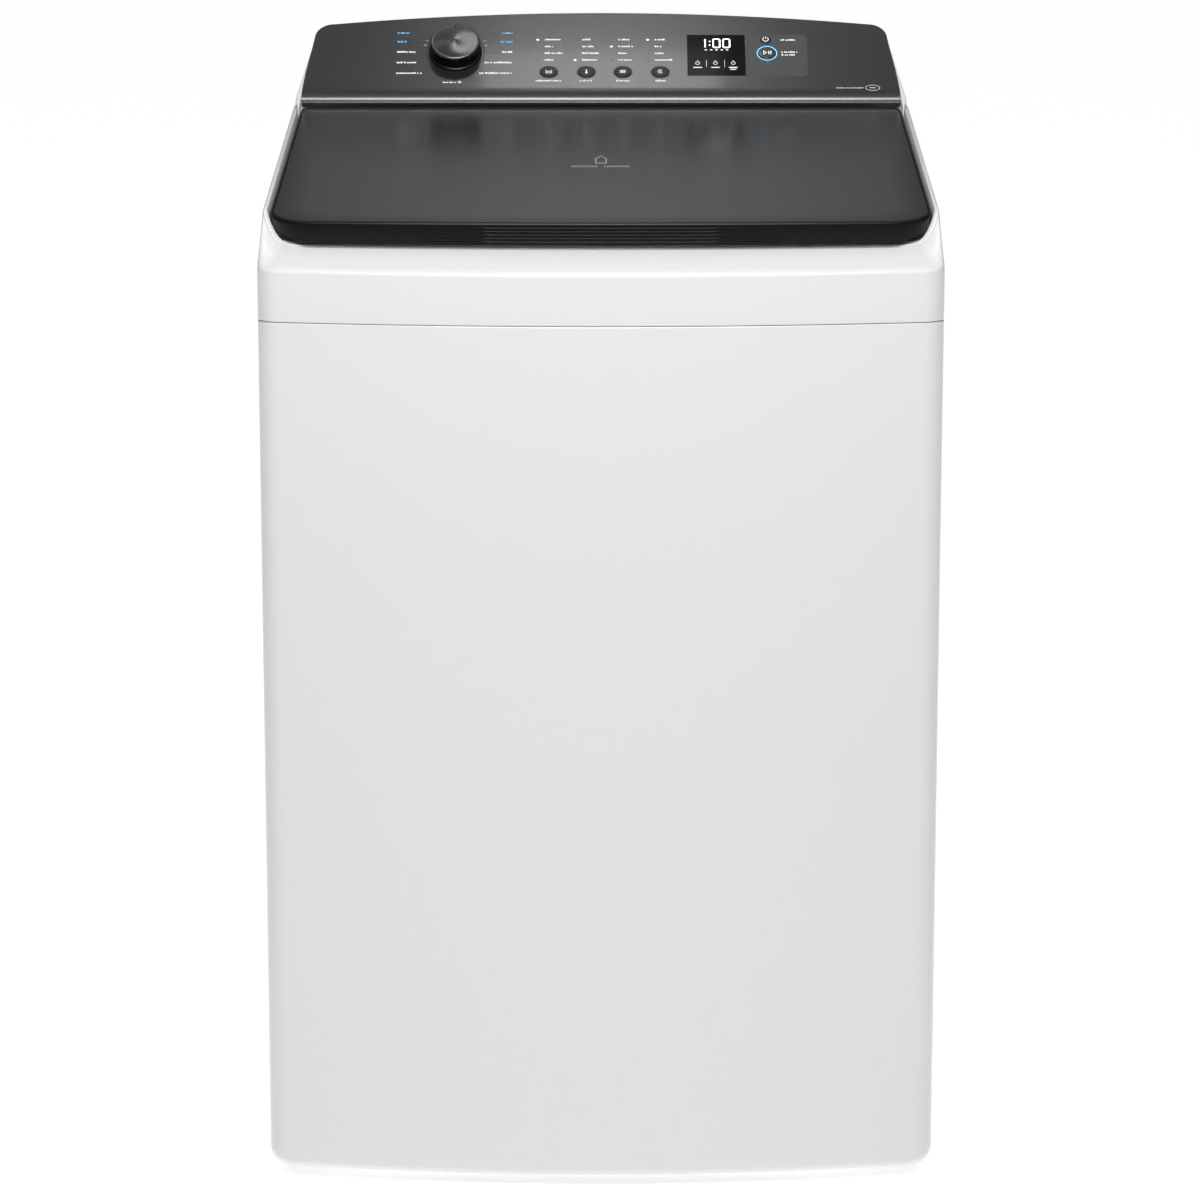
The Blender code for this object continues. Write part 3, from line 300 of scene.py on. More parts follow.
def finish(name, slot, colour, roughness, mottle, grain=None, metallic=0.0, mottle_scale=6.0, coat=0.0):
    """A moulded or painted surface: uneven colour and gloss, and a fine grain as (scale, strength, depth)."""
    made = bpy.data.materials.new(name)
    made.use_nodes = True
    tree, shader = made.node_tree, shader_of(made)
    set_inputs(shader, Metallic=metallic, Coat_Weight=coat, Coat_Roughness=0.06)
    place = add_node(tree, "TexCoord").outputs["Object"]
    clouds = add_node(tree, "TexNoise", [("Vector", place)], Scale=mottle_scale, Detail=4.0).outputs["Fac"]
    tint = add_node(tree, "ValToRGB", [("Fac", clouds)])
    for stop, at, shift in zip(tint.color_ramp.elements, (0.3, 0.7), (-mottle, mottle)):
        stop.position = at
        stop.color = (*(min(1.0, c * (1.0 + shift)) for c in colour), 1.0)
    tree.links.new(tint.outputs["Color"], shader.inputs["Base Color"])
    gloss = add_node(tree, "MapRange", [("Value", clouds)], To_Min=roughness * 0.9, To_Max=roughness * 1.12)
    tree.links.new(gloss.outputs["Result"], shader.inputs["Roughness"])
    if grain:
        scale, strength, depth = grain
        specks = add_node(tree, "TexNoise", [("Vector", place)], Scale=scale, Detail=3.0).outputs["Fac"]
        bump = add_node(tree, "Bump", [("Height", specks)], Strength=strength, Distance=depth)
        tree.links.new(bump.outputs["Normal"], shader.inputs["Normal"])
    return made, slot


def glow(name, colour, strength):
    """A lamp on the console, which shines by itself, or print, which gets a little painted glow as painted
    light although it is no lamp.
    """
    made, slot = finish(name, "charcoal_plastic", colour, 0.4, 0.01)
    set_inputs(shader_of(made), Emission_Color=(*colour, 1.0), Emission_Strength=strength)
    return made, slot


def spun(name, slot, colour, roughness, anisotropy):
    """Metal turned on a lathe: its grain runs in rings round the piece's own Z axis."""
    made, slot = finish(name, slot, colour, roughness, 0.06, metallic=1.0, mottle_scale=30.0)
    shader = shader_of(made)
    set_inputs(shader, Anisotropic=anisotropy)
    around = add_node(made.node_tree, "Tangent")
    around.direction_type = "RADIAL"
    around.axis = "Z"
    made.node_tree.links.new(around.outputs["Tangent"], shader.inputs["Tangent"])
    return made, slot


FINISH = {
    "paint": finish(
        "white_paint", "white_steel", (0.6, 0.6, 0.602), 0.26, 0.002, (900.0, 0.05, 0.0002), mottle_scale=2.0,
        coat=0.25
    ),
    "cover": finish(
        "white_moulding", "white_plastic", (0.61, 0.61, 0.612), 0.3, 0.002, (1300.0, 0.06, 0.0002),
        mottle_scale=2.0, coat=0.1
    ),
    "inner_white": finish("inner_white", "white_plastic", (0.78, 0.79, 0.8), 0.42, 0.02, (700.0, 0.1, 0.0003)),
    "galvanised": finish(
        "galvanised", "zinc_steel", (0.52, 0.53, 0.55), 0.4, 0.14, (300.0, 0.12, 0.0004), metallic=0.85,
        mottle_scale=40.0
    ),
    "stainless": finish(
        "drum_steel", "stainless", (0.6, 0.6, 0.61), 0.24, 0.05, (500.0, 0.05, 0.0002), metallic=1.0,
        mottle_scale=14.0
    ),
    "glass": finish("smoked_glass", "tinted_glass", (0.022, 0.0223, 0.023), 0.21, 0.02),
    "lens": finish("display_glass", "tinted_glass", (0.008, 0.008, 0.009), 0.08, 0.02),
    "black": finish(
        "black_moulding", "black_plastic", (0.0045, 0.0045, 0.005), 0.32, 0.06, (1200.0, 0.08, 0.0002)
    ),
    "charcoal": finish(
        "charcoal_metallic", "charcoal_plastic", (0.014, 0.014, 0.015), 0.24, 0.05, (2600.0, 0.1, 0.0001),
        coat=0.15
    ),
    "charcoal_light": finish(
        "charcoal_field", "charcoal_plastic", (0.034, 0.034, 0.036), 0.36, 0.04, (2600.0, 0.1, 0.0001)
    ),
    "charcoal_dark": finish(
        "charcoal_key", "charcoal_plastic", (0.013, 0.013, 0.014), 0.33, 0.05, (2600.0, 0.08, 0.0001)
    ),
    # the three print finishes glow a little: painted light, as print is no lamp; light_white and light_blue are
    # the real lamps
    "print_white": glow("print_white", (0.8, 0.81, 0.82), 0.25),
    "print_blue": glow("print_blue", (0.1, 0.42, 0.72), 0.35),
    "print_grey": glow("print_grey", (0.5, 0.51, 0.53), 0.1),
    "print_faint": finish("print_faint", "tinted_glass", (0.24, 0.243, 0.248), 0.4, 0.02),
    "indicator_off": finish("indicator_off", "charcoal_plastic", (0.15, 0.15, 0.155), 0.35, 0.04),
    # painted shade: dark discs, bars and slots that stand where drain holes, filter openings and louvres would
    # show only shade
    "painted_shade_in_openings": finish("painted_opening_shade", "grey_plastic", (0.03, 0.03, 0.032), 0.6, 0.04),
    "print_dark": finish("print_dark", "charcoal_plastic", (0.022, 0.022, 0.024), 0.4, 0.04),
    "light_white": glow("light_white", (0.95, 0.97, 1.0), 1.6),
    "light_blue": glow("light_blue", (0.13, 0.5, 0.8), 0.8),
    "grey": finish("grey_moulding", "grey_plastic", (0.5, 0.51, 0.53), 0.45, 0.04, (800.0, 0.12, 0.0003)),
    "pale_grey": finish(
        "pale_grey_moulding", "grey_plastic", (0.66, 0.67, 0.69), 0.4, 0.03, (900.0, 0.1, 0.0003)
    ),
    "rubber": finish("black_rubber", "rubber", (0.022, 0.022, 0.023), 0.72, 0.12, (600.0, 0.2, 0.0004)),
    "board": finish("board_green", "board", (0.03, 0.17, 0.07), 0.45, 0.1, mottle_scale=60.0),
    "cast": finish(
        "cast_aluminium", "cast_aluminium", (0.56, 0.56, 0.57), 0.46, 0.1, (350.0, 0.25, 0.0006), metallic=0.9,
        mottle_scale=25.0
    ),
    "knob_metal": spun("spun_metal", "spun_metal", (0.1, 0.1, 0.103), 0.22, 0.9),
}


# ---------- plan outlines and heights
def front_y(x, half_width, corner_y, bow):
    return corner_y - bow * (1 - (x / half_width) ** 2)


def left_outline(half_width, corner_y, bow, back_y, front_r, back_r, stations):
    """Left half of a plan outline, from the middle of the back to the middle of the front."""
    straight = half_width - back_r
    points = [(-straight * i / BACK_STEPS, back_y) for i in range(BACK_STEPS)]
    points += [
        (-straight + back_r * c, back_y - back_r + back_r * s) for c, s in arc(BACK_CORNER_STEPS, 90, 180)
    ]
    lean = atan(2 * bow * (half_width - front_r) / half_width**2)
    arc_end_x = -(half_width - front_r) - front_r * sin(lean)
    arc_y = front_y(arc_end_x, half_width, corner_y, bow) + front_r * cos(lean)
    points += [(-half_width, y) for y in stations]
    points += [(-half_width, mix(stations[-1], arc_y, share)) for share in (0.25, 0.45, 0.65, 0.85)]
    end = 270 - degrees(lean)
    middle_x = -half_width + front_r
    points += [(middle_x + front_r * c, arc_y + front_r * s) for c, s in arc(FRONT_CORNER_STEPS, 180, end)]
    for i in range(1, FRONT_STEPS + 1):
        x = arc_end_x * (1 - i / FRONT_STEPS)
        points.append((x, front_y(x, half_width, corner_y, bow)))
    return points


def whole(left):
    """Closes a left half into a ring: the two middle points are shared."""
    return left + [(-x, y) for x, y in reversed(left[1:-1])]


def lifted(plan, z):
    return [Vector((x, y, z)) for x, y in plan]


def cabinet_outline(inset=0.0):
    return left_outline(
        HALF_WIDTH - inset, CORNER_Y + inset, FRONT_BOW, COVER_BACK_Y - inset, CORNER_R, 0.006, SIDE_STATIONS
    )


def recess_outline(half_width, front_y_mid, back_y, front_r):
    """Outline of the recess that holds the lid, or of the lid itself."""
    bow = 0.021
    limit = back_y - 0.022
    stations = [y if y < limit else mix(limit, back_y - 0.0155, (y - limit) / 0.09) for y in SIDE_STATIONS]
    return left_outline(half_width, front_y_mid + bow, bow, back_y, front_r, 0.014, stations)


def mouth_outline(inset):
    """The loading mouth: a rounded opening under the lid."""
    count = len(SIDE_STATIONS) - 1
    stations = [mix(0.05, -0.09, i / count) for i in range(count + 1)]
    half_width, back_y = MOUTH_HALF_WIDTH - inset, MOUTH_BACK_Y - inset
    return left_outline(half_width, MOUTH_FRONT_Y + inset + 0.012, 0.012, back_y, 0.12, 0.06, stations)


def lid_top(y):
    return LID_FRONT_Z + (y - LID_FRONT_Y) * LID_SLOPE


def lid_surface(x, y):
    fade = clamp((LID_BACK_Y - y) / (LID_BACK_Y - LID_FRONT_Y))
    return lid_top(y) - LID_CROWN * fade * (x / LID_HALF_WIDTH) ** 2


def deck_z(y):
    return DECK_FRONT_Z + (y - DECK_FRONT_Y) * DECK_SLOPE


def on_deck(plan, rise=0.0):
    return [Vector((x, y, deck_z(y) + rise)) for x, y in plan]


def on_lid(plan, rise=0.0):
    return [Vector((x, y, lid_surface(x, y) + rise)) for x, y in plan]


def face_top_v(x):
    """How far up its slope the console face reaches: arched, with round corners."""
    if abs(x) < CORNER_X:
        return mix(PANEL_TOP_V, CORNER_V + CORNER_FACE_R, (x / CORNER_X) ** 2)
    return CORNER_V + sqrt(max(0.0, CORNER_FACE_R**2 - (abs(x) - CORNER_X) ** 2))


def hump_back_y(x):
    return PANEL_ORIGIN.y + face_top_v(x) * cos(PANEL_TILT) + PANEL_THICK * sin(PANEL_TILT) - 0.0006


def hump_z(y):
    drop = (PANEL_THICK + FACIA_SHADOW_GAP) / cos(PANEL_TILT)
    return PANEL_ORIGIN.z - drop + (y - PANEL_ORIGIN.y) * tan(PANEL_TILT)


def cheek_z(y):
    """Top edge of the cover's side: beside the lid, then up the end of the console."""
    beside_lid = min(0.872 + (y + 0.235) * 0.1187, UNDER_FACIA_Z)
    return max(beside_lid, hump_z(y)) if y > 0.19 else beside_lid


def cheek_x(z):
    return HALF_WIDTH - 0.0005 - 0.3 * max(0.0, z - 0.925)


def side_share(x, y, half_width, rise_from=COVER_RISE_FROM):
    """0 along the front, 1 on the sides and back: how far an edge has risen round the front corner."""
    return 1.0 if y > 0.0 else clamp((abs(x) / half_width - rise_from) / (1.0 - rise_from)) ** 2


# ---------- cabinet
def make_cabinet():
    """Sides and bowed front in one folded sheet, rolled in at the bottom and flanged at the top."""
    levels = [(0.0105 * (1 - c), 0.028 - 0.018 * s) for c, s in reversed(arc(8))]
    levels += [(0.0, 0.2), (0.0, 0.4), (0.0, 0.6), (0.0, SEAM_Z - 0.0016)]
    levels += [(0.0014 * (1 - c), SEAM_Z - 0.0014 * (1 - s)) for c, s in arc(4)]
    levels.append((0.012, SEAM_Z))
    rows = []
    for inset, z in levels:
        side_x = inset - HALF_WIDTH + 1e-6
        left = [p for p in cabinet_outline(inset) if p[0] < side_x or p[1] < CORNER_Y + 0.03]
        left[0] = (left[0][0], CABINET_BACK_Y)
        rows.append(lifted(left + [(-x, y) for x, y in reversed(left[:-1])], z))
    count = len(rows[0])
    verts = [point for row in rows for point in row]
    starts = [k * count + i for k in range(len(rows) - 1) for i in range(count - 1)]
    faces = [(a, a + 1, a + count + 1, a + count) for a in starts]
    thicken(piece("cabinet_shell", (verts, faces), "paint", "cabinet", ["cabinet_wrap"]), 0.0012)
    plates = []
    for side in (-1, 1):
        for end in (-1, 1):
            xs = sorted((side * 0.215, side * 0.2984))
            ys = sorted((DRUM_Y + end * 0.205, DRUM_Y + end * 0.275))
            plates.append(box_mesh((xs[0], ys[0], 0.763), (xs[1], ys[1], 0.7665)))
    soften(piece("corner_plates", joined(*plates), "galvanised"), 0.0015, 1)


# ---------- top cover
def cover_rings():
    """The top cover's outer face: from the seam up over the edge, across the deck and into the mouth."""
    outer = whole(cabinet_outline())
    edge = whole(left_outline(0.2985, -0.2515, 0.021, COVER_BACK_Y - 0.0005, 0.038, 0.012, SIDE_STATIONS))

    def seam_ring(inset, rise):
        return lifted(whole(cabinet_outline(inset)), SEAM_Z + GAP + rise)

    def edge_ring(inset, drop, share_up):
        """A ring between the crease and the cover's top edge."""
        ring = []
        for (ox, oy), (ex, ey) in zip(outer, edge):
            side = side_share(ex, ey, 0.2985)
            ey = min(ey, hump_back_y(ex * cheek_x(0.984) / 0.2985))
            lean = min(1.0, cheek_x(cheek_z(ey)) / 0.2985)
            x, y = mix(ox, ex * lean, share_up), mix(oy, ey, share_up)
            reach = hypot(x, y - DRUM_Y)
            x, y = x - inset * x / reach, y - inset * (y - DRUM_Y) / reach
            z_edge = mix(DECK_FRONT_Z - 0.0005, cheek_z(min(y, ey)), side) - drop
            ring.append(Vector((x, y, mix(CREASE_Z, z_edge, share_up))))
        return ring

    def inside_ring(grow, lower):
        ring = []
        for x, y in whole(recess_outline(0.294 + grow, -0.2695 - grow, HUMP_FRONT_Y, 0.035)):
            side = side_share(x, y, 0.294)
            edge_z = cheek_z(y) - 0.0008 if y < 0.19 else min(cheek_z(y) - 0.004, hump_z(y))
            ring.append(Vector((x, y, mix(DECK_FRONT_Z, edge_z - lower, side))))
        return ring

    rings = [seam_ring(0.012, 0.0)]
    rings += [seam_ring(0.0013 * (1 - s), 0.0013 * (1 - c)) for c, s in arc(4)]
    rings.append(lifted(outer, CREASE_Z - 0.02))
    crease = (lifted(outer, CREASE_Z - 0.0035), lifted(outer, CREASE_Z), edge_ring(0.0, 0.0, 0.085))
    bends = [curve_between(*points, 6) for points in zip(*crease)]
    rings += [[bend[i] for bend in bends] for i in range(7)]
    rings += [edge_ring(0.0, 0.0025, share) for share in (0.25, 0.45, 0.65, 0.82)]
    rings += [edge_ring(0.0025 * (1 - c), 0.0025 * (1 - s), 1.0) for c, s in arc(4)]
    rings += [inside_ring(0.0006, 0.0), inside_ring(0.0, 0.001)]
    rings.append(on_deck(whole(recess_outline(0.2937, -0.268, HUMP_FRONT_Y - 0.0005, 0.035))))
    rings += [on_deck(whole(mouth_outline(0.0055 * s - 0.004)), -0.0055 * (1 - c)) for c, s in arc(5)]
    wall = ((0.003, SLOT_TOP_Z), (0.0055, SLOT_BOTTOM_Z), (0.007, RIM_BOTTOM_Z + 0.002), (0.0082, RIM_BOTTOM_Z))
    rings += [lifted(whole(mouth_outline(inset)), z) for inset, z in wall]
    return rings


def make_top_cover():
    verts, faces = skin(cover_rings(), "open")

    def kept(face):
        """Leaves the hump open behind the console, and the mouth's wall open where the drawer slides."""
        corners = [verts[i] for i in face]
        ys, zs = [c.y for c in corners], [c.z for c in corners]
        across = max(abs(c.x) for c in corners)
        console = min(ys) < HUMP_FRONT_Y + 0.01 and max(ys) > 0.28 and across < CONSOLE_MOUTH_X
        in_slot = max(zs) < SLOT_TOP_Z + 1e-4 and min(zs) > SLOT_BOTTOM_Z - 1e-4
        return not (console or (in_slot and 0.1 < min(ys) < 0.2 and across < 0.115))

    thicken(
        piece("cover_shell", (verts, [f for f in faces if kept(f)]), "cover", "cabinet", ["top_cover"]), 0.0014
    )

    trim_outer = [(-0.116, 0.827), (0.116, 0.827), (0.116, 0.8648), (-0.116, 0.8648)]
    trim_inner = [(-0.0985, 0.8313), (0.0985, 0.8313), (0.0985, 0.8607), (-0.0985, 0.8607)]
    rings = []
    for plan, y in ((trim_outer, 0.1225), (trim_outer, 0.117), (trim_inner, 0.117), (trim_inner, 0.129)):
        rings.append([Vector((x, y, z)) for x, z in rounded(plan, 0.004, 5)])
    piece("drawer_trim", skin(rings, "loop"), "cover", sharp=40)

    bumper = [(0.007, -0.0004), (0.007, 0.0018), (0.0062, 0.003), (0.004, 0.0036), (0.0001, 0.0036)]
    for name, side in SIDES:
        for row, y in (("front", -0.215), ("rear", 0.12)):
            place = Matrix.Translation((side * 0.262, y, deck_z(y)))
            mesh = lathe(bumper, place, 24, "capped")
            piece("lid_bumper_%s_%s" % (row, name), mesh, "rubber")
    slot, hole = rectangle(*STRIKER_AT, 0.0075, 0.0185), rectangle(*STRIKER_AT, 0.0042, 0.015)
    levels = ((slot, -0.001), (slot, 0.0012), (hole, 0.0012), (hole, 0.0002))
    bezel = [on_deck(rounded(plan, 0.003, 4), rise) for plan, rise in levels]
    piece("latch_bezel", skin(bezel), "black", sharp=40)


# ---------- lid
def make_lid():
    outline = whole(recess_outline(LID_HALF_WIDTH, LID_FRONT_Y, LID_BACK_Y, 0.043))
    seat = whole(
        recess_outline(LID_HALF_WIDTH - LID_BORDER, LID_FRONT_Y + LID_BORDER, LID_BACK_Y - 0.002, 0.04)
    )
    inner = whole(recess_outline(LID_HALF_WIDTH - 0.042, LID_FRONT_Y + 0.04, LID_BACK_Y - 0.052, 0.03))

    def between(a, b, share):
        return [(mix(ax, bx, share), mix(ay, by, share)) for (ax, ay), (bx, by) in zip(a, b)]

    def level(plan, drop):
        return [Vector((x, y, lid_top(y) - drop)) for x, y in plan]

    def underside(plan, lift):
        """The lip is deep along the front and thins out round the corners, where the cover rises beside it."""
        ring = []
        for x, y in plan:
            thinned = 0.7 * side_share(x, y, LID_HALF_WIDTH, LID_RISE_FROM) * clamp((0.1 - y) / 0.1)
            ring.append(Vector((x, y, lid_surface(x, y) - LID_THICK * (1.0 - thinned) + lift)))
        return ring

    rings = [level(inner, LID_THICK)]
    rings += [underside(between(outline, inner, 0.036 * (1 - s)), 0.0015 * (1 - c)) for c, s in arc(4)]
    rings += [on_lid(between(outline, seat, 0.9 * (1 - c)), -0.003 * (1 - s)) for c, s in arc(5)]
    rings += [on_lid(seat), on_lid(seat, -GLASS_THICK - GAP), on_lid(inner, -GLASS_THICK - GAP)]
    x, y = STRIKER_AT
    striker = box_mesh((x - 0.0015, y - 0.007, 0.842), (x + 0.0015, y + 0.007, 0.87))
    piece("lid_rim", joined(skin(rings, "loop"), striker), "black", "lid", ["lid_frame"], sharp=50)

    border = LID_BORDER + GAP
    plan = whole(recess_outline(LID_HALF_WIDTH - border, LID_FRONT_Y + border, LID_BACK_Y - 0.0025, 0.0395))
    middle_y = (LID_FRONT_Y + LID_BACK_Y) / 2

    def shrunk(share):
        return [(x * share, mix(middle_y, y, share)) for x, y in plan]

    rings = [on_lid(shrunk(share), -GLASS_THICK) for share in (0.02, 0.4, 0.8, 0.997)]
    rings.append(on_lid(plan, 0.0006 - GLASS_THICK))
    rings += [on_lid(shrunk(1 - 0.0035 * (1 - c)), -0.0009 * (1 - s)) for c, s in arc(4)]
    rings += [on_lid(shrunk(share)) for share in (0.9, 0.75, 0.6, 0.45, 0.3, 0.15, 0.02)]
    piece("lid_pane", skin(rings), "glass", "lid", ["lid_glass"], sharp=60)

    make_grip_ribs()
    make_lid_print()
    gasket = whole(recess_outline(LID_HALF_WIDTH - 0.047, LID_FRONT_Y + 0.045, LID_BACK_Y - 0.057, 0.03))
    lip = whole(recess_outline(LID_HALF_WIDTH - 0.051, LID_FRONT_Y + 0.049, LID_BACK_Y - 0.061, 0.028))
    seal = [level(p, drop) for p, drop in ((gasket, 0.0055), (gasket, 0.0082), (lip, 0.009), (lip, 0.0055))]
    piece("glass_seal", skin(seal, "loop"), "rubber", "lid", sharp=40)
    barrel = [(0.0042, -0.0135), (0.0078, -0.0135), (0.0085, -0.0128)]
    barrel += [(r, -z) for r, z in reversed(barrel)]
    for name, side in SIDES:
        place = Matrix.Translation((side * 0.262, *HINGE_YZ)) @ Matrix.Rotation(radians(90), 4, "Y")
        piece("hinge_barrel_" + name, lathe(barrel, place, 32), "black", "lid")


def make_grip_ribs():
    """Fine ribs along the middle of the black lip, fading at both ends."""
    bow, steps, half_length, half = 0.021, 40, 0.158, 0.0008
    parts = []
    for row in range(5):
        rings = []
        for i in range(steps + 1):
            x = mix(-half_length, half_length, i / steps)
            proud = 0.0009 * sqrt(clamp(4 * min(i, steps - i) / steps))
            y = front_y(x, LID_HALF_WIDTH, LID_FRONT_Y + bow, bow)
            z = lid_surface(x, y) - 0.0048 - 0.003 * row
            section = ((-0.0008, 1.0), (proud * 0.7, 0.6), (proud, 0.0), (proud * 0.7, -0.6), (-0.0008, -1.0))
            rings.append([Vector((x, y - out, z + half * up)) for out, up in section])
        parts.append(skin(rings))
    piece("grip_ribs", joined(*parts), "black", "lid", sharp=50)


def make_lid_print():
    """A generic load mark printed on the glass: a small drop outline over two dashes."""
    top, root = 0.00008, -0.0002
    centre_y = -0.028
    shape = [(-0.0055, -0.016), (0.0055, -0.016), (0.0055, 0.004), (0.0, 0.018), (-0.0055, 0.004)]
    outer = [(x, centre_y + y) for x, y in shape]
    inner = [(x * 0.72, centre_y + y * 0.8) for x, y in shape]
    rings = [on_lid(plan, rise) for plan, rise in ((outer, root), (outer, top), (inner, top), (inner, root))]
    dashes = []
    for start in [-0.027 + 0.0027 * k for k in range(20) if k not in (9, 10)]:
        plan = rectangle(start + 0.0009, -0.056, 0.0009, 0.003)
        dashes.append(skin([on_lid(plan, root), on_lid(plan, top)]))
    piece("lid_mark", joined(skin(rings, "loop"), *dashes), "print_faint", "lid")


# ---------- console
KNOB_AT = (-0.1432, 0.057)
OPTION_BUTTONS_AT = [(-0.0511, 0.0294), (-0.0143, 0.0294), (0.0214, 0.0294), (0.0582, 0.0294)]
OPTION_BUTTON_RADII = (0.0081, 0.007)
POWER_BUTTON_AT = (0.1624, 0.0744)
POWER_BUTTON_R = 0.005
START_BUTTON_AT = (0.1634, 0.0557)
START_BUTTON_R = 0.0085
START_LIGHT_AT = (0.1637, 0.044)
DISPLAY_AT = (0.1134, 0.053)
DISPLAY_HALF = 0.0285
LED_COLUMNS = (-0.0623, -0.0255, 0.0102, 0.046)
LED_ROWS = (0.0747, 0.0651, 0.0556, 0.0463)
LED_LABELS = (
    (0.0154, 0.008, 0.0176, 0.009), (0.0083, 0.0127, 0.0163, 0.015), (0.0114, 0.0154, 0.0088, 0.013),
    (0.01, 0.007, 0.0088, 0.0176),
)
LIT = {(0, 0), (1, 3), (2, 1), (3, 0)}
KEY_LABELS = (0.0255, 0.013, 0.0127, 0.01)
# each printed row beside the knob: its place up the face, and the lengths to the left and the right
PROGRAMMES = (
    (0.0839, 0.0115, 0.0105), (0.0716, 0.0095, 0.0115), (0.0573, 0.018, 0.01), (0.0426, 0.019, 0.0268),
    (0.0279, 0.0255, 0.032),
)
BUTTON_ROOM = 0.0004
PRINT_RISE = 0.00007
PRINT_ROOT = -0.0003
KEY_MARK_RISE = 0.00112
DISPLAY_RISE = 0.00032


def facia_outline():
    """Outline of the console face in its own plane, anticlockwise from the front left corner."""
    side = [
        (0.2925, 0.0), (0.2916, 0.011), (0.2905, 0.022), (0.2889, 0.035), (0.287, 0.048), (0.2853, 0.06),
        (0.2838, 0.07)
    ]
    corner = [(CORNER_X + CORNER_FACE_R * c, CORNER_V + CORNER_FACE_R * s) for c, s in arc(12, 4, 87)]
    top = [(0.26 - 0.01 * i, face_top_v(0.26 - 0.01 * i)) for i in range(26)]
    right = side + corner + top
    front = [(0.0225 * i, 0.0) for i in range(-12, 13)]
    return front + right + [(0.0, PANEL_TOP_V)] + [(-x, v) for x, v in reversed(right)]


def facia_rings():
    """Rings from the facia's underside, round its edge, to its face; the front edge is a rounded nose."""
    plan = facia_outline()
    count = len(plan)
    levels = [
        (0.0022, -PANEL_THICK, (0.2205, None)), (0.0002, -PANEL_THICK, (0.215, 0.9246)),
        (0.0, -PANEL_THICK + 0.0006, (0.2098, 0.9235))
    ]
    nose = [Vector((0.2101, 0.9239)), Vector((0.2102, 0.9242))]
    nose += curve_between(Vector((0.2103, 0.9246)), Vector((0.2107, 0.92931)), Vector((0.2202, 0.93706)), 6)
    levels += [(0.0016 * (1 - c), 0.0016 * (s - 1), tuple(point)) for (c, s), point in zip(arc(8), nose)]
    rings = []
    for inset, height, (nose_y, nose_z) in levels:
        ring = []
        for i, (x, v) in enumerate(plan):
            run = (Vector(plan[(i + 1) % count]) - Vector(plan[i - 1])).normalized()
            point = Vector((x, v)) - inset * Vector((run.y, -run.x))
            if v > 0.0:
                ring.append(panel_frame() @ Vector((point.x, point.y, height)))
            elif nose_z is None:
                back = (nose_y - PANEL_ORIGIN.y) / cos(PANEL_TILT) + height * tan(PANEL_TILT)
                ring.append(panel_frame() @ Vector((point.x, back, height)))
            else:
                ring.append(Vector((point.x, nose_y, nose_z)))
        rings.append(ring)
    return rings


def cut(target, *tools):
    """Takes the tools' volume out of the target, for good."""
    for tool_mesh in tools:
        tool = mesh_object("tool", *tool_mesh)
        step = target.modifiers.new("cut", "BOOLEAN")
        step.object = tool
        step.operation = "DIFFERENCE"
        step.solver = "EXACT"
        result = bpy.data.meshes.new_from_object(target.evaluated_get(bpy.context.evaluated_depsgraph_get()))
        target.modifiers.remove(step)
        target.data = result
        bpy.data.objects.remove(tool, do_unlink=True)


def keep_flat(mesh):
    """Sharp edges round the console's flat face, so that its rounded border doesn't bend its shading."""
    out = panel_frame().to_3x3() @ Vector((0.0, 0.0, 1.0))
    bm = bmesh.new()
    bm.from_mesh(mesh)
    for edge in bm.edges:
        on_face = [face.normal.dot(out) > 0.99999 for face in edge.link_faces]
        if any(on_face) and not all(on_face):
            edge.smooth = False
    bm.to_mesh(mesh)
    bm.free()


def oval(at, radii, levels, segments=48, ends="capped"):
    """Round or oval rings on the console face: the levels are (how much the radii grow, height)."""
    place, turns = panel_frame(*at), arc(segments, 0, 360)[:-1]
    rings = []
    for grow, height in levels:
        rings.append([place @ Vector(((radii[0] + grow) * c, (radii[1] + grow) * s, height)) for c, s in turns])
    return skin(rings, ends)


def disc(at, radius, rise):
    return oval(at, (radius, radius), [(0.0, PRINT_ROOT), (0.0, rise)], 20)


def lamp_at(at, half_width):
    """An indicator's small domed lens."""
    return oval(at, (half_width, 0.0008), [(0.0, PRINT_ROOT), (0.0, 0.0001), (-0.0004, 0.00025)], 16)


def hole_at(at, radii, room=BUTTON_ROOM):
    """The tool that cuts the opening of a key, with room round it, out of the console face."""
    return oval(at, radii, [(room, -0.02), (room, 0.01)])


def hoop(at, radius, width, rise=PRINT_RISE, start=0.0, end=360.0, steps=40):
    """A printed ring, or part of one, on the console face."""
    place = panel_frame(*at)
    rings = []
    for c, s in arc(steps, start, end):
        corners = ((radius, PRINT_ROOT), (radius + width, PRINT_ROOT), (radius + width, rise), (radius, rise))
        rings.append([place @ Vector((r * c, r * s, h)) for r, h in corners])
    return skin(rings, "capped")


def bar(x, v, length, height, rise=PRINT_RISE, root=PRINT_ROOT):
    """A small printed block, centred on its place on the console face."""
    return box_mesh((-length / 2, -height / 2, root), (length / 2, height / 2, rise), panel_frame(x, v))


def stroke(start, end, width, rise=PRINT_RISE):
    """A printed line between two places on the console face."""
    (ax, av), (bx, bv) = start, end
    length = hypot(bx - ax, bv - av)
    turn = Matrix.Rotation(atan2(bv - av, bx - ax), 4, "Z")
    place = panel_frame((ax + bx) / 2, (av + bv) / 2) @ turn
    return box_mesh((-length / 2, -width / 2, PRINT_ROOT), (length / 2, width / 2, rise), place)


def words(x, v, length, height, seed, align="left"):
    """A line of print shown as a row of small blocks: no letters, only their rhythm."""
    dice = random.Random(seed)
    start = {"left": x, "right": x - length, "middle": x - length / 2}[align]
    parts = []
    at = start
    while at < start + length - 0.0004:
        wide = min(dice.uniform(0.55, 0.95) * height, start + length - at)
        tall = dice.choice((0.72, 0.72, 1.0))
        parts.append(bar(at + wide / 2, v + (tall - 0.72) * height / 2, wide, height * tall))
        at += wide + dice.choice((0.28, 0.28, 0.28, 0.75)) * height
    return parts


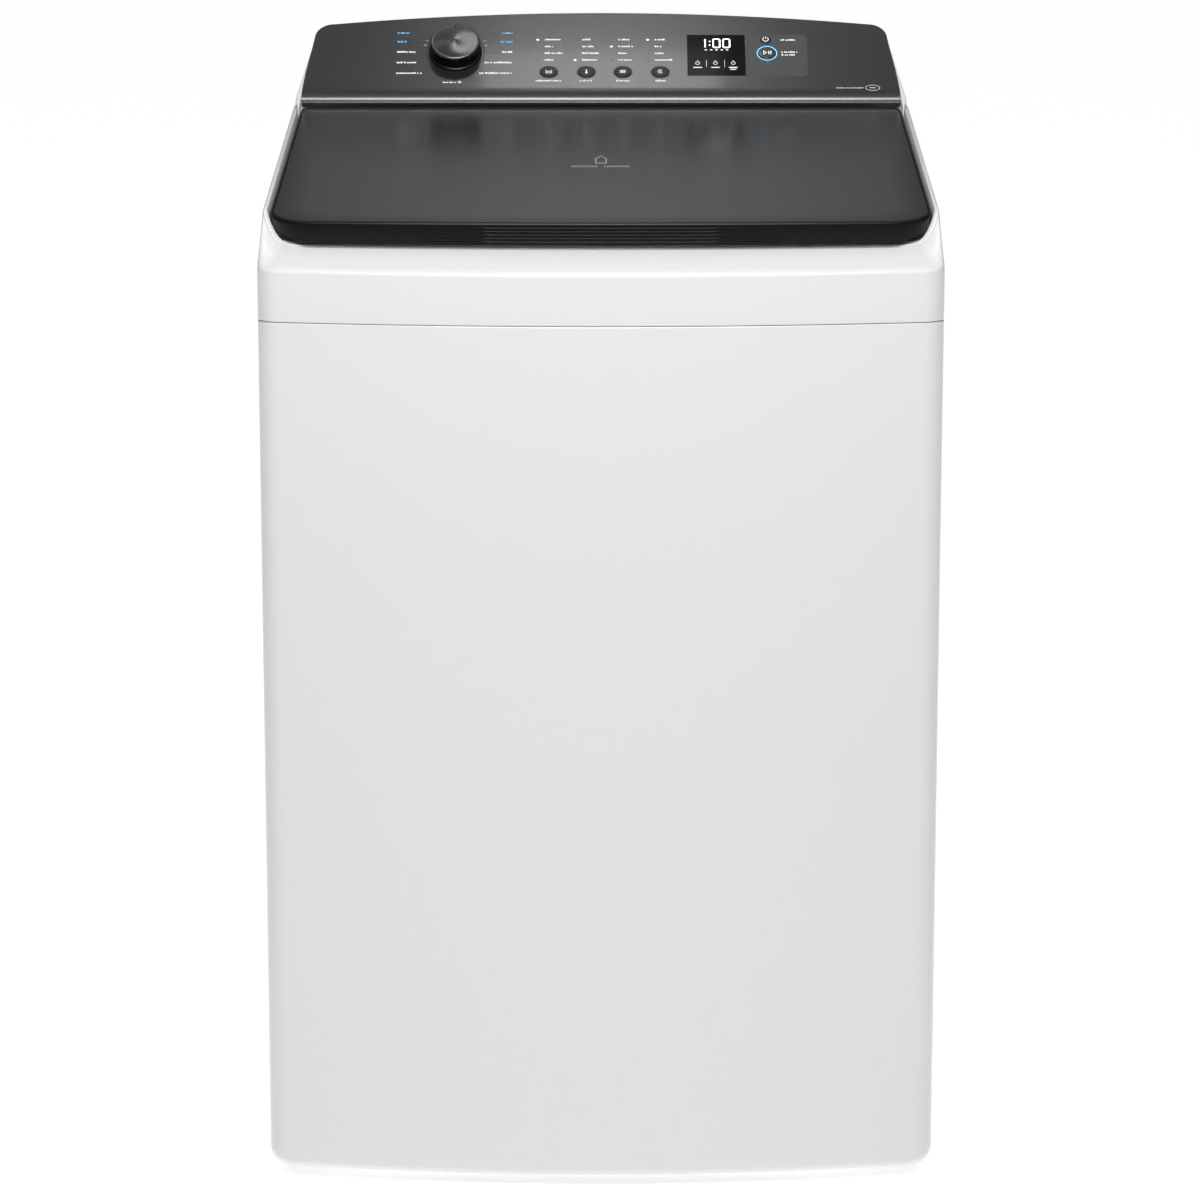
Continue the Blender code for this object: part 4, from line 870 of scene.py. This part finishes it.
def figure(segments, x, v, height, width, thick):
    """One seven-bar figure, from the letters of its lit bars."""
    spots = {
        "a": (0.0, 1.0), "b": (1.0, 0.5), "c": (1.0, -0.5), "d": (0.0, -1.0), "e": (-1.0, -0.5),
        "f": (-1.0, 0.5),
    }
    parts = []
    for segment in segments:
        across, up = spots[segment]
        size = (thick, height * 0.44) if across else (width * 0.84, thick)
        parts.append(bar(x + across * width / 2, v + up * height / 2, *size, DISPLAY_RISE, 0.0))
    return parts


def button_list():
    keys = [("option_button_%d" % (i + 1), at, OPTION_BUTTON_RADII) for i, at in enumerate(OPTION_BUTTONS_AT)]
    return keys + [
        ("power_button", POWER_BUTTON_AT, (POWER_BUTTON_R, POWER_BUTTON_R)),
        ("start_button", START_BUTTON_AT, (START_BUTTON_R, START_BUTTON_R)),
    ]


def make_console():
    facia = piece("console_face", skin(facia_rings()), "charcoal", "cabinet", ["console_facia"])
    half = DISPLAY_HALF
    place = panel_frame(*DISPLAY_AT)
    holes = [hole_at(KNOB_AT, (0.0042, 0.0042), 0.0)]
    holes.append(box_mesh((-half, -half, -0.02), (half, half, 0.01), place))
    cut(facia, *holes, *(hole_at(at, radii) for _, at, radii in button_list()))
    mark_sharp(facia.data, 30)
    keep_flat(facia.data)

    rings = []
    for shrink, height in ((1.0, -0.004), (1.0, -0.0002), (0.992, 0.0002)):
        corners = rectangle(0.0, 0.0, (half - GAP) * shrink, (half - GAP) * shrink)
        rings.append([place @ Vector((x, v, height)) for x, v in corners])
    piece("display_window", skin(rings), "lens", "cabinet", ["display_lens"])
    make_keys()
    make_knob()
    make_print()
    make_display_marks()


def make_keys():
    x, v = POWER_BUTTON_AT
    power = [hoop((x, v), 0.0024, 0.0006, KEY_MARK_RISE, 120, 420, 28)]
    power.append(bar(x, v + 0.0022, 0.0006, 0.0026, KEY_MARK_RISE))
    x, v = START_BUTTON_AT
    back, tip = x - 0.0034, (x - 0.0002, v)
    start = [stroke((back, v - 0.0024), (back, v + 0.0024), 0.0008, KEY_MARK_RISE)]
    start += [stroke((back, v + side * 0.0024), tip, 0.0006, KEY_MARK_RISE) for side in (1, -1)]
    start += [bar(x + dx, v, 0.0008, 0.0044, KEY_MARK_RISE) for dx in (0.0018, 0.0038)]
    marks = {"power_button": power, "start_button": start}
    for name, at, radii in button_list():
        levels = [(0.0, -0.0095), (0.0, 0.0003)]
        levels += [(0.0009 * (c - 1), 0.0003 + 0.0007 * s) for c, s in arc(4)[1:]]
        levels += [(-0.35 * radii[0], 0.00098), (-0.75 * radii[0], 0.00092)]
        look = "charcoal_dark" if name.startswith("option") else "charcoal"
        piece(name + "_key", oval(at, radii, levels), look, node_body(name), [name])
        if name in marks:
            piece(name + "_mark", joined(*marks[name]), "print_white", node_body(name))
    make_key_icons()
    ring = hoop(START_BUTTON_AT, START_BUTTON_R + 0.0006, 0.001, 0.00012, steps=64)
    piece("start_ring", ring, "light_blue")
    levels = [(0.0005, -0.0003), (0.0016, -0.0003), (0.0014, 0.00025), (0.0007, 0.00025)]
    parts = [oval(at, OPTION_BUTTON_RADII, levels, ends="loop") for at in OPTION_BUTTONS_AT]
    piece("key_surrounds", joined(*parts), "charcoal_light")


def make_key_icons():
    """One small generic mark on each option key: level, heat, rinse and spin."""
    rise = KEY_MARK_RISE
    for number, (x, v) in enumerate(OPTION_BUTTONS_AT):
        if number == 0:
            marks = [bar(x, v - 0.002, 0.0056, 0.0006, rise)]
            marks += [bar(x + dx, v, 0.0006, 0.0042, rise) for dx in (-0.0027, 0.0027)]
            marks.append(bar(x, v + 0.0002, 0.004, 0.0006, rise))
        elif number == 1:
            marks = [bar(x, v + 0.0008, 0.001, 0.0036, rise), disc((x, v - 0.0016), 0.0012, rise)]
        elif number == 2:
            marks = [bar(x, v + dv, 0.0058, 0.0006, rise) for dv in (-0.0014, 0.0, 0.0014)]
        else:
            marks = [hoop((x, v), 0.0019, 0.0006, rise, 40, 330, 24), disc((x, v), 0.0007, rise)]
        body = node_body("option_button_%d" % (number + 1))
        piece("option_mark_%d" % (number + 1), joined(*marks), "print_white", body)


def turned_on_panel(name, profile, look, body, stands_for=(), segments=96, ends="capped"):
    """A turned piece of the knob, whose own Z axis is the one that it turns on."""
    mesh = lathe(profile, Matrix(), segments, ends)
    return piece(name, mesh, look, body, stands_for, 30, panel_frame(*KNOB_AT))


def make_knob():
    body = node_body("knob_cap")
    skirt = [
        (0.0034, 0.0006), (0.0258, 0.0006), (0.0262, 0.0009), (0.0262, 0.0015), (0.0258, 0.0019),
        (0.0246, 0.0024)
    ]
    for low in (0.003, 0.0056, 0.0082):
        skirt += [(0.0243, low), (0.0243, low + 0.0018), (0.0237, low + 0.002), (0.0237, low + 0.0024)]
    skirt += [(0.024, 0.0108), (0.0034, 0.0108)]
    turned_on_panel("knob_grip", skirt, "black", body, ["knob_skirt"], 128, "loop")
    cap = [
        (0.02, 0.0111), (0.0236, 0.0111), (0.0241, 0.0113), (0.0245, 0.0119), (0.0245, 0.014), (0.0243, 0.0146)
    ]
    cap += [(0.0237, 0.0152), (0.0229, 0.0155), (0.0223, 0.01545), (0.022, 0.01535), (0.0216, 0.0154)]
    cap += [(0.015, 0.01575), (0.008, 0.016), (0.0022, 0.016), (0.0017, 0.0156), (0.001, 0.0155)]
    turned_on_panel("knob_face", cap, "knob_metal", body, ["knob_cap"], 128)
    ring = [(0.0279, PRINT_ROOT), (0.0288, PRINT_ROOT), (0.0288, 0.0002), (0.0279, 0.0002)]
    turned_on_panel("knob_border", ring, "charcoal_dark", "cabinet", ends="loop")
    slot = box_mesh((-0.0012, 0.0188, 0.0153), (0.0012, 0.0212, 0.01562), panel_frame(*KNOB_AT))
    piece("knob_pointer", slot, "charcoal_dark", body)
    x, v = KNOB_AT
    ticks = []
    for side in (-1, 1):
        turn = Matrix.Rotation(radians(18 * side), 4, "Z")
        place = panel_frame(x + 0.03 * side, v + 0.0099) @ turn
        ticks.append(box_mesh((-0.0011, -0.0006, PRINT_ROOT), (0.0011, 0.0006, 0.00012), place))
    ticks += [bar(x + 0.0285 * side, v + 0.0165, 0.0016, 0.0007) for side in (-1, 1)]
    piece("knob_ticks", joined(*ticks), "print_blue")


def make_print():
    white, blue, dark, unlit, lit = [], [], [], [], []
    knob_x, knob_v = KNOB_AT
    left_edge, right_edge = -0.2006, -0.0873
    for k, (v, left_length, right_length) in enumerate(PROGRAMMES):
        target = blue if k < 2 else white
        target += words(left_edge, v, left_length, 0.0021, 11 + k)
        target += words(right_edge, v, right_length, 0.0021, 31 + k, "right")
        turn = radians(mix(146, 222, k / 4))
        for side in (1, -1):
            near = (knob_x + side * 0.0292 * cos(turn), knob_v + 0.0292 * sin(turn))
            far = (knob_x - side * 0.0345, v)
            dark.append(stroke(near, far, 0.00035))
            reach = left_edge + left_length + 0.0012 if side > 0 else right_edge - right_length - 0.0012
            if abs(reach - knob_x) > abs(far[0] - knob_x):
                dark.append(stroke(far, (reach, v), 0.00035))
    white += words(-0.1545, 0.015, 0.0125, 0.0018, 51)
    white += [bar(-0.1385, 0.0156, 0.004, 0.0008), bar(-0.1385, 0.0156, 0.0008, 0.0034)]
    for column, x in enumerate(LED_COLUMNS):
        for row, v in enumerate(LED_ROWS):
            (lit if (column, row) in LIT else unlit).append(lamp_at((x, v), 0.0013))
            white += words(x + 0.007, v, LED_LABELS[column][row], 0.002, 100 + 10 * column + row)
        white += words(OPTION_BUTTONS_AT[column][0], 0.0174, KEY_LABELS[column], 0.0019, 200 + column, "middle")
    for k, (x, v, length) in enumerate(
        ((0.177, 0.0742, 0.015), (0.1776, 0.0572, 0.0155), (0.1776, 0.0532, 0.013))
    ):
        white += words(x, v, length, 0.0019, 300 + k)
    unlit.append(lamp_at(START_LIGHT_AT, 0.0012))
    badge = words(0.23, 0.0075, 0.027, 0.0015, 303)
    levels = [(0.0, PRINT_ROOT), (0.0006, PRINT_ROOT), (0.0006, PRINT_RISE), (0.0, PRINT_RISE)]
    badge.append(oval((0.2655, 0.0078), (0.0066, 0.0034), levels, ends="loop"))
    badge.append(bar(0.2655, 0.0078, 0.006, 0.001))
    for name, parts, look in (
        ("panel_print_white", white, "print_white"), ("panel_print_blue", blue, "print_blue"),
        ("panel_lines", dark, "print_dark"), ("indicators_off", unlit, "indicator_off"),
        ("indicators_on", lit, "light_white"), ("panel_badge", badge, "print_grey"),
    ):
        piece(name, joined(*parts), look)
    plan = rounded(rectangle(0.1727, 0.0525, 0.0303, 0.029), 0.006, 8)
    place = panel_frame()
    rings = [[place @ Vector((x, v, h)) for x, v in plan] for h in (PRINT_ROOT, 0.00003)]
    tools = [hole_at(at, radii) for _, at, radii in button_list()[-2:]]
    cut(piece("start_field", skin(rings), "charcoal_light"), *tools)


def make_display_marks():
    x, v = DISPLAY_AT
    row, height, width, thick, rise = v + 0.0165, 0.0118, 0.0064, 0.0013, DISPLAY_RISE
    parts = figure("bc", x - 0.014, row, height, width, thick)
    parts += [bar(x - 0.0063, row + side * 0.0026, thick, thick, rise, 0.0) for side in (-1, 1)]
    for dx in (0.0004, 0.0102):
        parts += figure("abcdef", x + dx, row, height, width, thick)
    piece("display_digits", joined(*parts), "light_white")
    marks = []
    for k, dx in enumerate((-0.0185, -0.001, 0.0165)):
        marks.append(hoop((x + dx, v - 0.0112), 0.0017, 0.0005, rise, steps=20))
        marks += [bar(x + dx, v - 0.0082, 0.0007, 0.0012, rise), bar(x + dx, v - 0.0172, 0.0085, 0.0011, rise)]
        marks += [bar(x + dx, v - 0.0198, 0.006, 0.0011, rise)] if k == 2 else []
    marks += [bar(x + dx, v - 0.012, 0.0003, 0.01, rise) for dx in (-0.0098, 0.008)]
    marks += [bar(x - 0.01 + 0.0052 * k, v + 0.0072, 0.0024, 0.0013, rise) for k in range(5)]
    piece("display_marks", joined(*marks), "print_white")


# ---------- drum and everything under the lid
TUB_R = 0.266
TUB_BOTTOM_Z = 0.3
TUB_TOP_Z = 0.795
BASKET_R = 0.243
BASKET_BOTTOM_Z = 0.335
BASKET_TOP_Z = 0.768
PULSATOR_R = 0.165
PULSATOR_Z = 0.34
WASH_SHAFT_R = 0.0092
HOLE_COLUMNS = 72


def along_drum():
    return Matrix.Translation((0.0, DRUM_Y, 0.0))


def make_basket():
    """The steel drum: staggered holes between pressed flutes, open in the mesh itself."""
    body = node_body("basket")
    low = BASKET_BOTTOM_Z
    levels = [low + 0.04 + 0.016 * k for k in range(24)]
    columns = HOLE_COLUMNS * 4

    def radius_at(step, z):
        """Shallow flutes stand in towards the clothes between every sixth column of holes."""
        flute = max(0.0, cos(2 * pi * 12 * step / columns)) ** 12
        rise = clamp((z - low - 0.05) / 0.03) * clamp((BASKET_TOP_Z - 0.05 - z) / 0.03)
        return BASKET_R - 0.0035 * flute * rise

    def wall_point(step, z):
        turn = 2 * pi * step / columns
        r = radius_at(step, z)
        return Vector((r * cos(turn), DRUM_Y + r * sin(turn), z))

    bottom = [
        (0.03, low), (0.08, low), (0.15, low), (BASKET_R - 0.022, low), (BASKET_R - 0.013, low + 0.002),
        (BASKET_R - 0.006, low + 0.006)
    ]
    bottom += [(BASKET_R - 0.002, low + 0.013), (BASKET_R, low + 0.022), (BASKET_R, levels[0] - 0.004)]
    rings = [[along_drum() @ p for p in circle(r, z, columns)] for r, z in bottom]
    heights = []
    for k, z in enumerate(levels[:-1]):
        heights += [z, z + 0.0036, z + 0.0088, z + 0.0124]
    heights += [levels[-1], BASKET_TOP_Z - 0.012, BASKET_TOP_Z]
    rings += [[wall_point(step, z) for step in range(columns)] for z in heights]
    verts, faces = skin(rings, "open")
    first_wall = len(bottom)
    kept = []
    for index, face in enumerate(faces):
        row, step = divmod(index, columns)
        band = row - first_wall
        inside_bands = 0 <= band < 4 * (len(levels) - 1)
        part = (step + (2 if (band // 4) % 2 else 0)) % 4
        phase = step % (columns // 12)
        near_flute = min(phase, columns // 12 - 1 - phase) < 3
        hole = inside_bands and band % 4 == 1 and part == 1 and not near_flute
        if not hole:
            kept.append(face)
    drum = piece("drum_wall", (verts, kept), "stainless", body, ["basket"], sharp=60)
    thicken(drum, 0.0012)


def make_rings():
    place = along_drum()
    top = BASKET_TOP_Z
    ring = [
        (0.213, top + GAP), (0.2445, top + GAP), (0.2445, 0.79), (0.24, 0.796), (0.218, 0.796), (0.213, 0.79)
    ]
    piece(
        "balance_collar", lathe(rounded(ring, 0.0035, 5), place, 128), "pale_grey", node_body("balance_ring"),
        ["balance_ring"]
    )
    cover = [
        (0.216, 0.8085), (0.224, 0.805), (0.262, TUB_TOP_Z + GAP), (0.27, TUB_TOP_Z + GAP), (0.27, 0.8025),
        (0.228, 0.8115), (0.216, 0.8115)
    ]
    piece(
        "splash_ring", lathe(rounded(cover, 0.0012, 3), place, 128), "pale_grey", node_body("tub_cover"),
        ["tub_cover"]
    )


def pulsator_height(radius, turn):
    """Height of the pulsator's top face: a low dome with four swept fins."""
    share = radius / PULSATOR_R
    dome = 0.004 + 0.018 * (1 - share**2)
    fin = max(0.0, cos(4 * (turn - 1.2 * share))) ** 3
    return PULSATOR_Z + dome + 0.022 * fin * sin(pi * clamp(share**0.9))


def make_pulsator():
    body = node_body("pulsator")
    place = along_drum()
    bore, segments = WASH_SHAFT_R + GAP, 192
    rings = [
        circle(bore, 0.358, segments), circle(bore, PULSATOR_Z, segments), circle(0.161, PULSATOR_Z, segments)
    ]
    rings.append(circle(PULSATOR_R, PULSATOR_Z + 0.002, segments))
    for k in range(27):
        radius = mix(0.164, 0.038, k / 26)
        ring = circle(radius, 0.0, segments)
        for i, point in enumerate(ring):
            point.z = pulsator_height(radius, 2 * pi * i / segments)
        rings.append(ring)
    rings.append(circle(0.0355, PULSATOR_Z + 0.0215, segments))
    piece(
        "wash_plate", skin([[place @ p for p in ring] for ring in rings]), "inner_white", body, ["pulsator"],
        sharp=50
    )
    cap = [
        (0.03, 0.362), (0.0345, 0.3622), (0.035, 0.3627), (0.035, 0.3655), (0.034, 0.3675), (0.0318, 0.3697),
        (0.0285, 0.3718)
    ]
    cap += [
        (0.027, 0.3722), (0.0262, 0.3718), (0.0254, 0.3722), (0.018, 0.375), (0.01, 0.3759), (0.0002, 0.376)
    ]
    piece("plate_cap", lathe(cap, place, 96, "capped"), "pale_grey", body, ["pulsator_cap"])
    # the drain holes are not cut: dark discs on the basket floor are painted shade where the holes would be
    drains = []
    for k in range(24):
        turn = 2 * pi * (k + 0.5) / 24
        x, y = 0.182 * cos(turn), DRUM_Y + 0.182 * sin(turn)
        drains.append(
            lathe(
                [(0.004, BASKET_BOTTOM_Z + 0.0011), (0.004, BASKET_BOTTOM_Z + 0.0016)],
                Matrix.Translation((x, y, 0.0)), 16, "capped"
            )
        )
    piece("drain_holes", joined(*drains), "painted_shade_in_openings", node_body("basket"))


def make_filters():
    for side_name, side in SIDES:
        name = "lint_filter_" + side_name
        xs = sorted((side * 0.2222, side * 0.224))
        # dark bars on each filter: painted shade standing for its openings
        bars = []
        for k in range(9):
            z = 0.516 + 0.0145 * k
            bars.append(box_mesh((xs[0], DRUM_Y - 0.033, z), (xs[1], DRUM_Y + 0.033, z + 0.005)))
        piece(name + "_slats", joined(*bars), "painted_shade_in_openings", node_body(name))


def make_tub_ribs():
    """Hoops and uprights that stiffen the outside of the tub."""
    body = node_body("outer_tub")
    place = along_drum()
    hoops = []
    for z in (0.345, 0.47, 0.56, 0.65, 0.74):
        hoops.append(
            lathe(
                [
                    (TUB_R - 0.001, z), (TUB_R + 0.0045, z + 0.0006), (TUB_R + 0.0045, z + 0.0026),
                    (TUB_R - 0.001, z + 0.0032)
                ],
                place, 96
            )
        )
    uprights = []
    for k in range(16):
        turn = Matrix.Rotation(2 * pi * (k + 0.5) / 16, 4, "Z")
        uprights.append(box_mesh((TUB_R - 0.001, -0.0014, 0.33), (TUB_R + 0.004, 0.0014, 0.78), place @ turn))
    piece("tub_ribs", joined(*hoops, *uprights), "pale_grey", body)


# ---------- springs and bellows under the tub
ROD_X, ROD_Y = 0.245, 0.238
ROD_FOOT_Z, LUG_Z = 0.262, 0.398
PUMP_AT, PUMP_TOP_Z = (0.15, 0.165), 0.15
CORNERS = (("front_left", -1, -1), ("front_right", 1, -1), ("rear_left", -1, 1), ("rear_right", 1, 1))
UP = (0.0, 0.0, 1.0)


def make_springs():
    """Round wire coils between the rods' feet and the tub's lugs."""
    coil_r, wire_r, turns, per_turn, sides = 0.013, 0.0016, 6, 28, 8
    low, high = ROD_FOOT_Z + GAP + wire_r, LUG_Z - GAP - wire_r
    for name, side, end in CORNERS:
        x, y = side * ROD_X, DRUM_Y + end * ROD_Y
        rings = []
        for k in range(turns * per_turn + 1):
            share = k / (turns * per_turn)
            turn = 2 * pi * turns * share
            out = Vector((cos(turn), sin(turn), 0.0))
            centre = Vector((x, y, mix(low, high, share))) + coil_r * out
            around = [2 * pi * i / sides for i in range(sides)]
            rings.append([centre + wire_r * (cos(a) * out - sin(a) * Vector(UP)) for a in around])
        node = "suspension_spring_" + name
        coil = piece("coil_" + name, skin(rings), "galvanised", node_body(node), [node])
        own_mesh(coil)


def make_bellows():
    """The rubber bellows between the pump and the tub, folded like a concertina."""
    x, y = PUMP_AT
    low, high = PUMP_TOP_Z + GAP, TUB_BOTTOM_Z - GAP
    folds = 5
    step = (high - low - 0.024) / folds
    outer = [(0.0178, low), (0.0178, low + 0.01)]
    inner = [(0.015, low), (0.015, low + 0.01)]
    for i in range(folds):
        z = low + 0.012 + step * i
        for share in (0.0, 0.15, 0.35, 0.5, 0.65, 0.85):
            swell = sin(pi * share) ** 0.8
            outer.append((0.0175 + 0.005 * swell, z + share * step))
            inner.append((0.0152 + 0.0042 * swell, z + share * step))
    outer += [(0.0178, high - 0.01), (0.0178, high)]
    inner += [(0.015, high - 0.01), (0.015, high)]
    profile = outer + inner[::-1]
    node = "sump_bellows"
    made = piece(
        "bellows", lathe(profile, Matrix.Translation((x, y, 0.0)), 48), "rubber", node_body(node), [node]
    )
    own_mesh(made)


# ---------- rear
def make_rear():
    back = CABINET_BACK_Y
    heads = [(side * 0.285, back - 0.0003, z) for side in (-1, 1) for z in (0.045, 0.22, 0.4, 0.58, 0.765)]
    heads += [(x, back - 0.0003, 0.77) for x in (-0.15, 0.0, 0.15)]
    heads += [(x, back + 0.0014, z) for x in (-0.137, 0.107) for z in (0.113, 0.27, 0.427)]
    dome = [
        (0.0048, 0.0), (0.0048, 0.0008), (0.004, 0.002), (0.0022, 0.0026), (0.0014, 0.0026), (0.001, 0.0018)
    ]
    screws = [lathe(dome, pointing_back(*spot), 20, "capped") for spot in heads]
    piece("rear_screws", joined(*screws), "galvanised")
    slots = []
    # the louvres are not cut: thin dark slots laid on the back are painted shade of openings
    for x in (-0.07, 0.0, 0.07):
        for k in range(7):
            z = 0.33 + 0.0095 * k
            slots.append(box_mesh((x - 0.045, back + 0.005, z), (x + 0.015, back + 0.0058, z + 0.0038)))
    piece("cover_louvres", joined(*slots), "painted_shade_in_openings")
    threads = []
    collar = [(0.015, 0.0046), (0.0168, 0.0046), (0.0168, 0.0062), (0.015, 0.0062)]
    for x in (0.155, 0.205):
        place = pointing_back(x, 0.2975, 0.872)
        for k in range(7):
            start = 0.0065 + 0.002 * k
            profile = [(0.012, start), (0.01325, start + 0.0007), (0.012, start + 0.0014)]
            threads.append(lathe(profile, place, 32))
        threads.append(lathe(collar, place, 32))
    piece("nipple_threads", joined(*threads), "pale_grey")


# ---------- finishes of the CAD's own pieces
for look, level in (("black", 0.16), ("charcoal_dark", 0.25), ("lens", 0.02)):
    set_inputs(shader_of(FINISH[look][0]), Specular_IOR_Level=level)
NODE_LOOKS = {}
for looks_like, edge_width, nodes_like_it in (
    ("paint", 0.0003, "rear_panel rear_service_cover"),
    ("black", 0.0005, "cord_gland"),
    ("black", 0.0008, " ".join("foot_" + name for name, _, _ in CORNERS)),
    ("black", 0.001, "lid_lock"),
    ("grey", 0.0004, "drain_outlet"),
    ("grey", 0.001, "drain_pump"),
    ("grey", 0.0015, "base_frame"),
    ("galvanised", 0.0, "hinge_pin_left hinge_pin_right encoder_shaft"),
    ("galvanised", 0.0003, "bearing_upper bearing_lower spin_tube wash_shaft"),
    ("galvanised", 0.0004, "motor_pulley"),
    ("galvanised", 0.0005, "motor_bracket " + " ".join("suspension_rod_" + name for name, _, _ in CORNERS)),
    ("galvanised", 0.001, "motor"),
    ("cast", 0.0006, "drive_pulley"),
    ("cast", 0.001, "gear_case basket_hub"),
    ("inner_white", 0.0005, "inlet_valve"),
    ("inner_white", 0.0006, "dispenser_housing"),
    ("pale_grey", 0.0, "lint_filter_left lint_filter_right"),
    ("pale_grey", 0.0006, "outer_tub"),
    ("pale_grey", 0.0008, "dispenser_drawer"),
    ("board", 0.0, "control_board"),
    ("rubber", 0.0004, "belt"),
):
    NODE_LOOKS.update((node, (looks_like, edge_width)) for node in nodes_like_it.split())


def dress_nodes():
    for node, (look, width) in NODE_LOOKS.items():
        target = frame["nodes"][node]
        target.data.materials.clear()
        target.data.materials.append(FINISH[look][0])
        if width:
            soften(target, width, 2, 35)


# ---------- set, light and camera
def make_floor():
    verts = [(-40.0, -12.0, 0.0), (40.0, -12.0, 0.0), (40.0, 90.0, 0.0), (-40.0, 90.0, 0.0)]
    made = mesh_object("floor", verts, [(0, 1, 2, 3)])
    look, _ = finish("studio_floor", "white_plastic", (0.8, 0.8, 0.8), 0.9, 0.002)
    white = (1.0, 1.0, 1.0, 1.0)
    set_inputs(shader_of(look), Specular_IOR_Level=0.0, Emission_Color=white, Emission_Strength=0.71)
    made.data.materials.append(look)


FRONT_SKY, BACK_SKY, ZENITH_SKY = 0.16, 0.15, 0.9


def make_world():
    """A dim studio sky with a brighter strip straight ahead and behind, and a bright ring round its top."""
    world = bpy.data.worlds.new("studio")
    bpy.context.scene.world = world
    world.use_nodes = True
    tree = world.node_tree
    place = add_node(tree, "TexCoord").outputs["Generated"]
    split = add_node(tree, "SeparateXYZ", [("Vector", place)]).outputs

    def ramp(value, start, end, low, high, kind="LINEAR"):
        feeds = [("Value", value)]
        made = add_node(tree, "MapRange", feeds, From_Min=start, From_Max=end, To_Min=low, To_Max=high)
        made.interpolation_type = kind
        return made.outputs["Result"]

    def maths(operation, *values):
        made = add_node(tree, "Math", enumerate(values))
        made.operation = operation
        return made.outputs["Value"]

    middle = ramp(maths("ABSOLUTE", split["X"]), 0.0, 0.15, 2.2, 0.25, "SMOOTHSTEP")
    wall = maths("MULTIPLY", ramp(split["Y"], -0.2, 0.9, FRONT_SKY, BACK_SKY), middle)
    blend = add_node(tree, "Mix", [(0, ramp(split["Z"], 0.6, 0.95, 0.0, 1.0)), (2, wall)])
    blend.inputs[3].default_value = ZENITH_SKY
    sky = maths("MULTIPLY", blend.outputs[0], ramp(split["Z"], 0.955, 0.985, 1.0, 0.35))
    background = tree.nodes["Background"]
    tree.links.new(sky, background.inputs["Strength"])
    set_inputs(background, Color=(1.0, 1.0, 1.0, 1.0))


def make_lights():
    for name, spot, size, power, tint in (
        ("front_softbox", (0.0, -1.5, 2.5), (1.0, 0.8), 54.0, (1.0, 1.0, 1.0)),
        ("console_light", (0.0, 0.4, 2.9), (0.34, 0.16), 2.0, (0.99, 0.99, 1.0)),
    ):
        light = bpy.data.lights.new(name, "AREA")
        light.shape = "RECTANGLE"
        light.size, light.size_y = size
        light.energy = power
        light.color = tint
        lamp = new_object(name, light)
        lamp.location = spot
        aim = Vector((0.0, 0.0, 0.75)) - Vector(spot)
        lamp.rotation_euler = aim.to_track_quat("-Z", "Y").to_euler()


def make_camera():
    lens = bpy.data.cameras.new("camera")
    lens.lens = 132.46
    lens.sensor_width = 36.0
    lens.shift_x = -0.0008
    lens.shift_y = -0.05
    lens.clip_end = 200.0
    camera = new_object("camera", lens)
    camera.location = (0.0, -4.0966, 1.3591)
    camera.rotation_euler = (radians(90.0 - 11.434), 0.0, 0.0)
    bpy.context.scene.camera = camera


def main():
    make_cabinet()
    make_top_cover()
    make_lid()
    make_console()
    make_basket()
    make_rings()
    make_pulsator()
    make_filters()
    make_tub_ribs()
    make_springs()
    make_bellows()
    make_rear()
    dress_nodes()
    make_floor()
    make_world()
    make_lights()
    make_camera()
    bpy.context.scene.view_settings.view_transform = "Standard"


main()
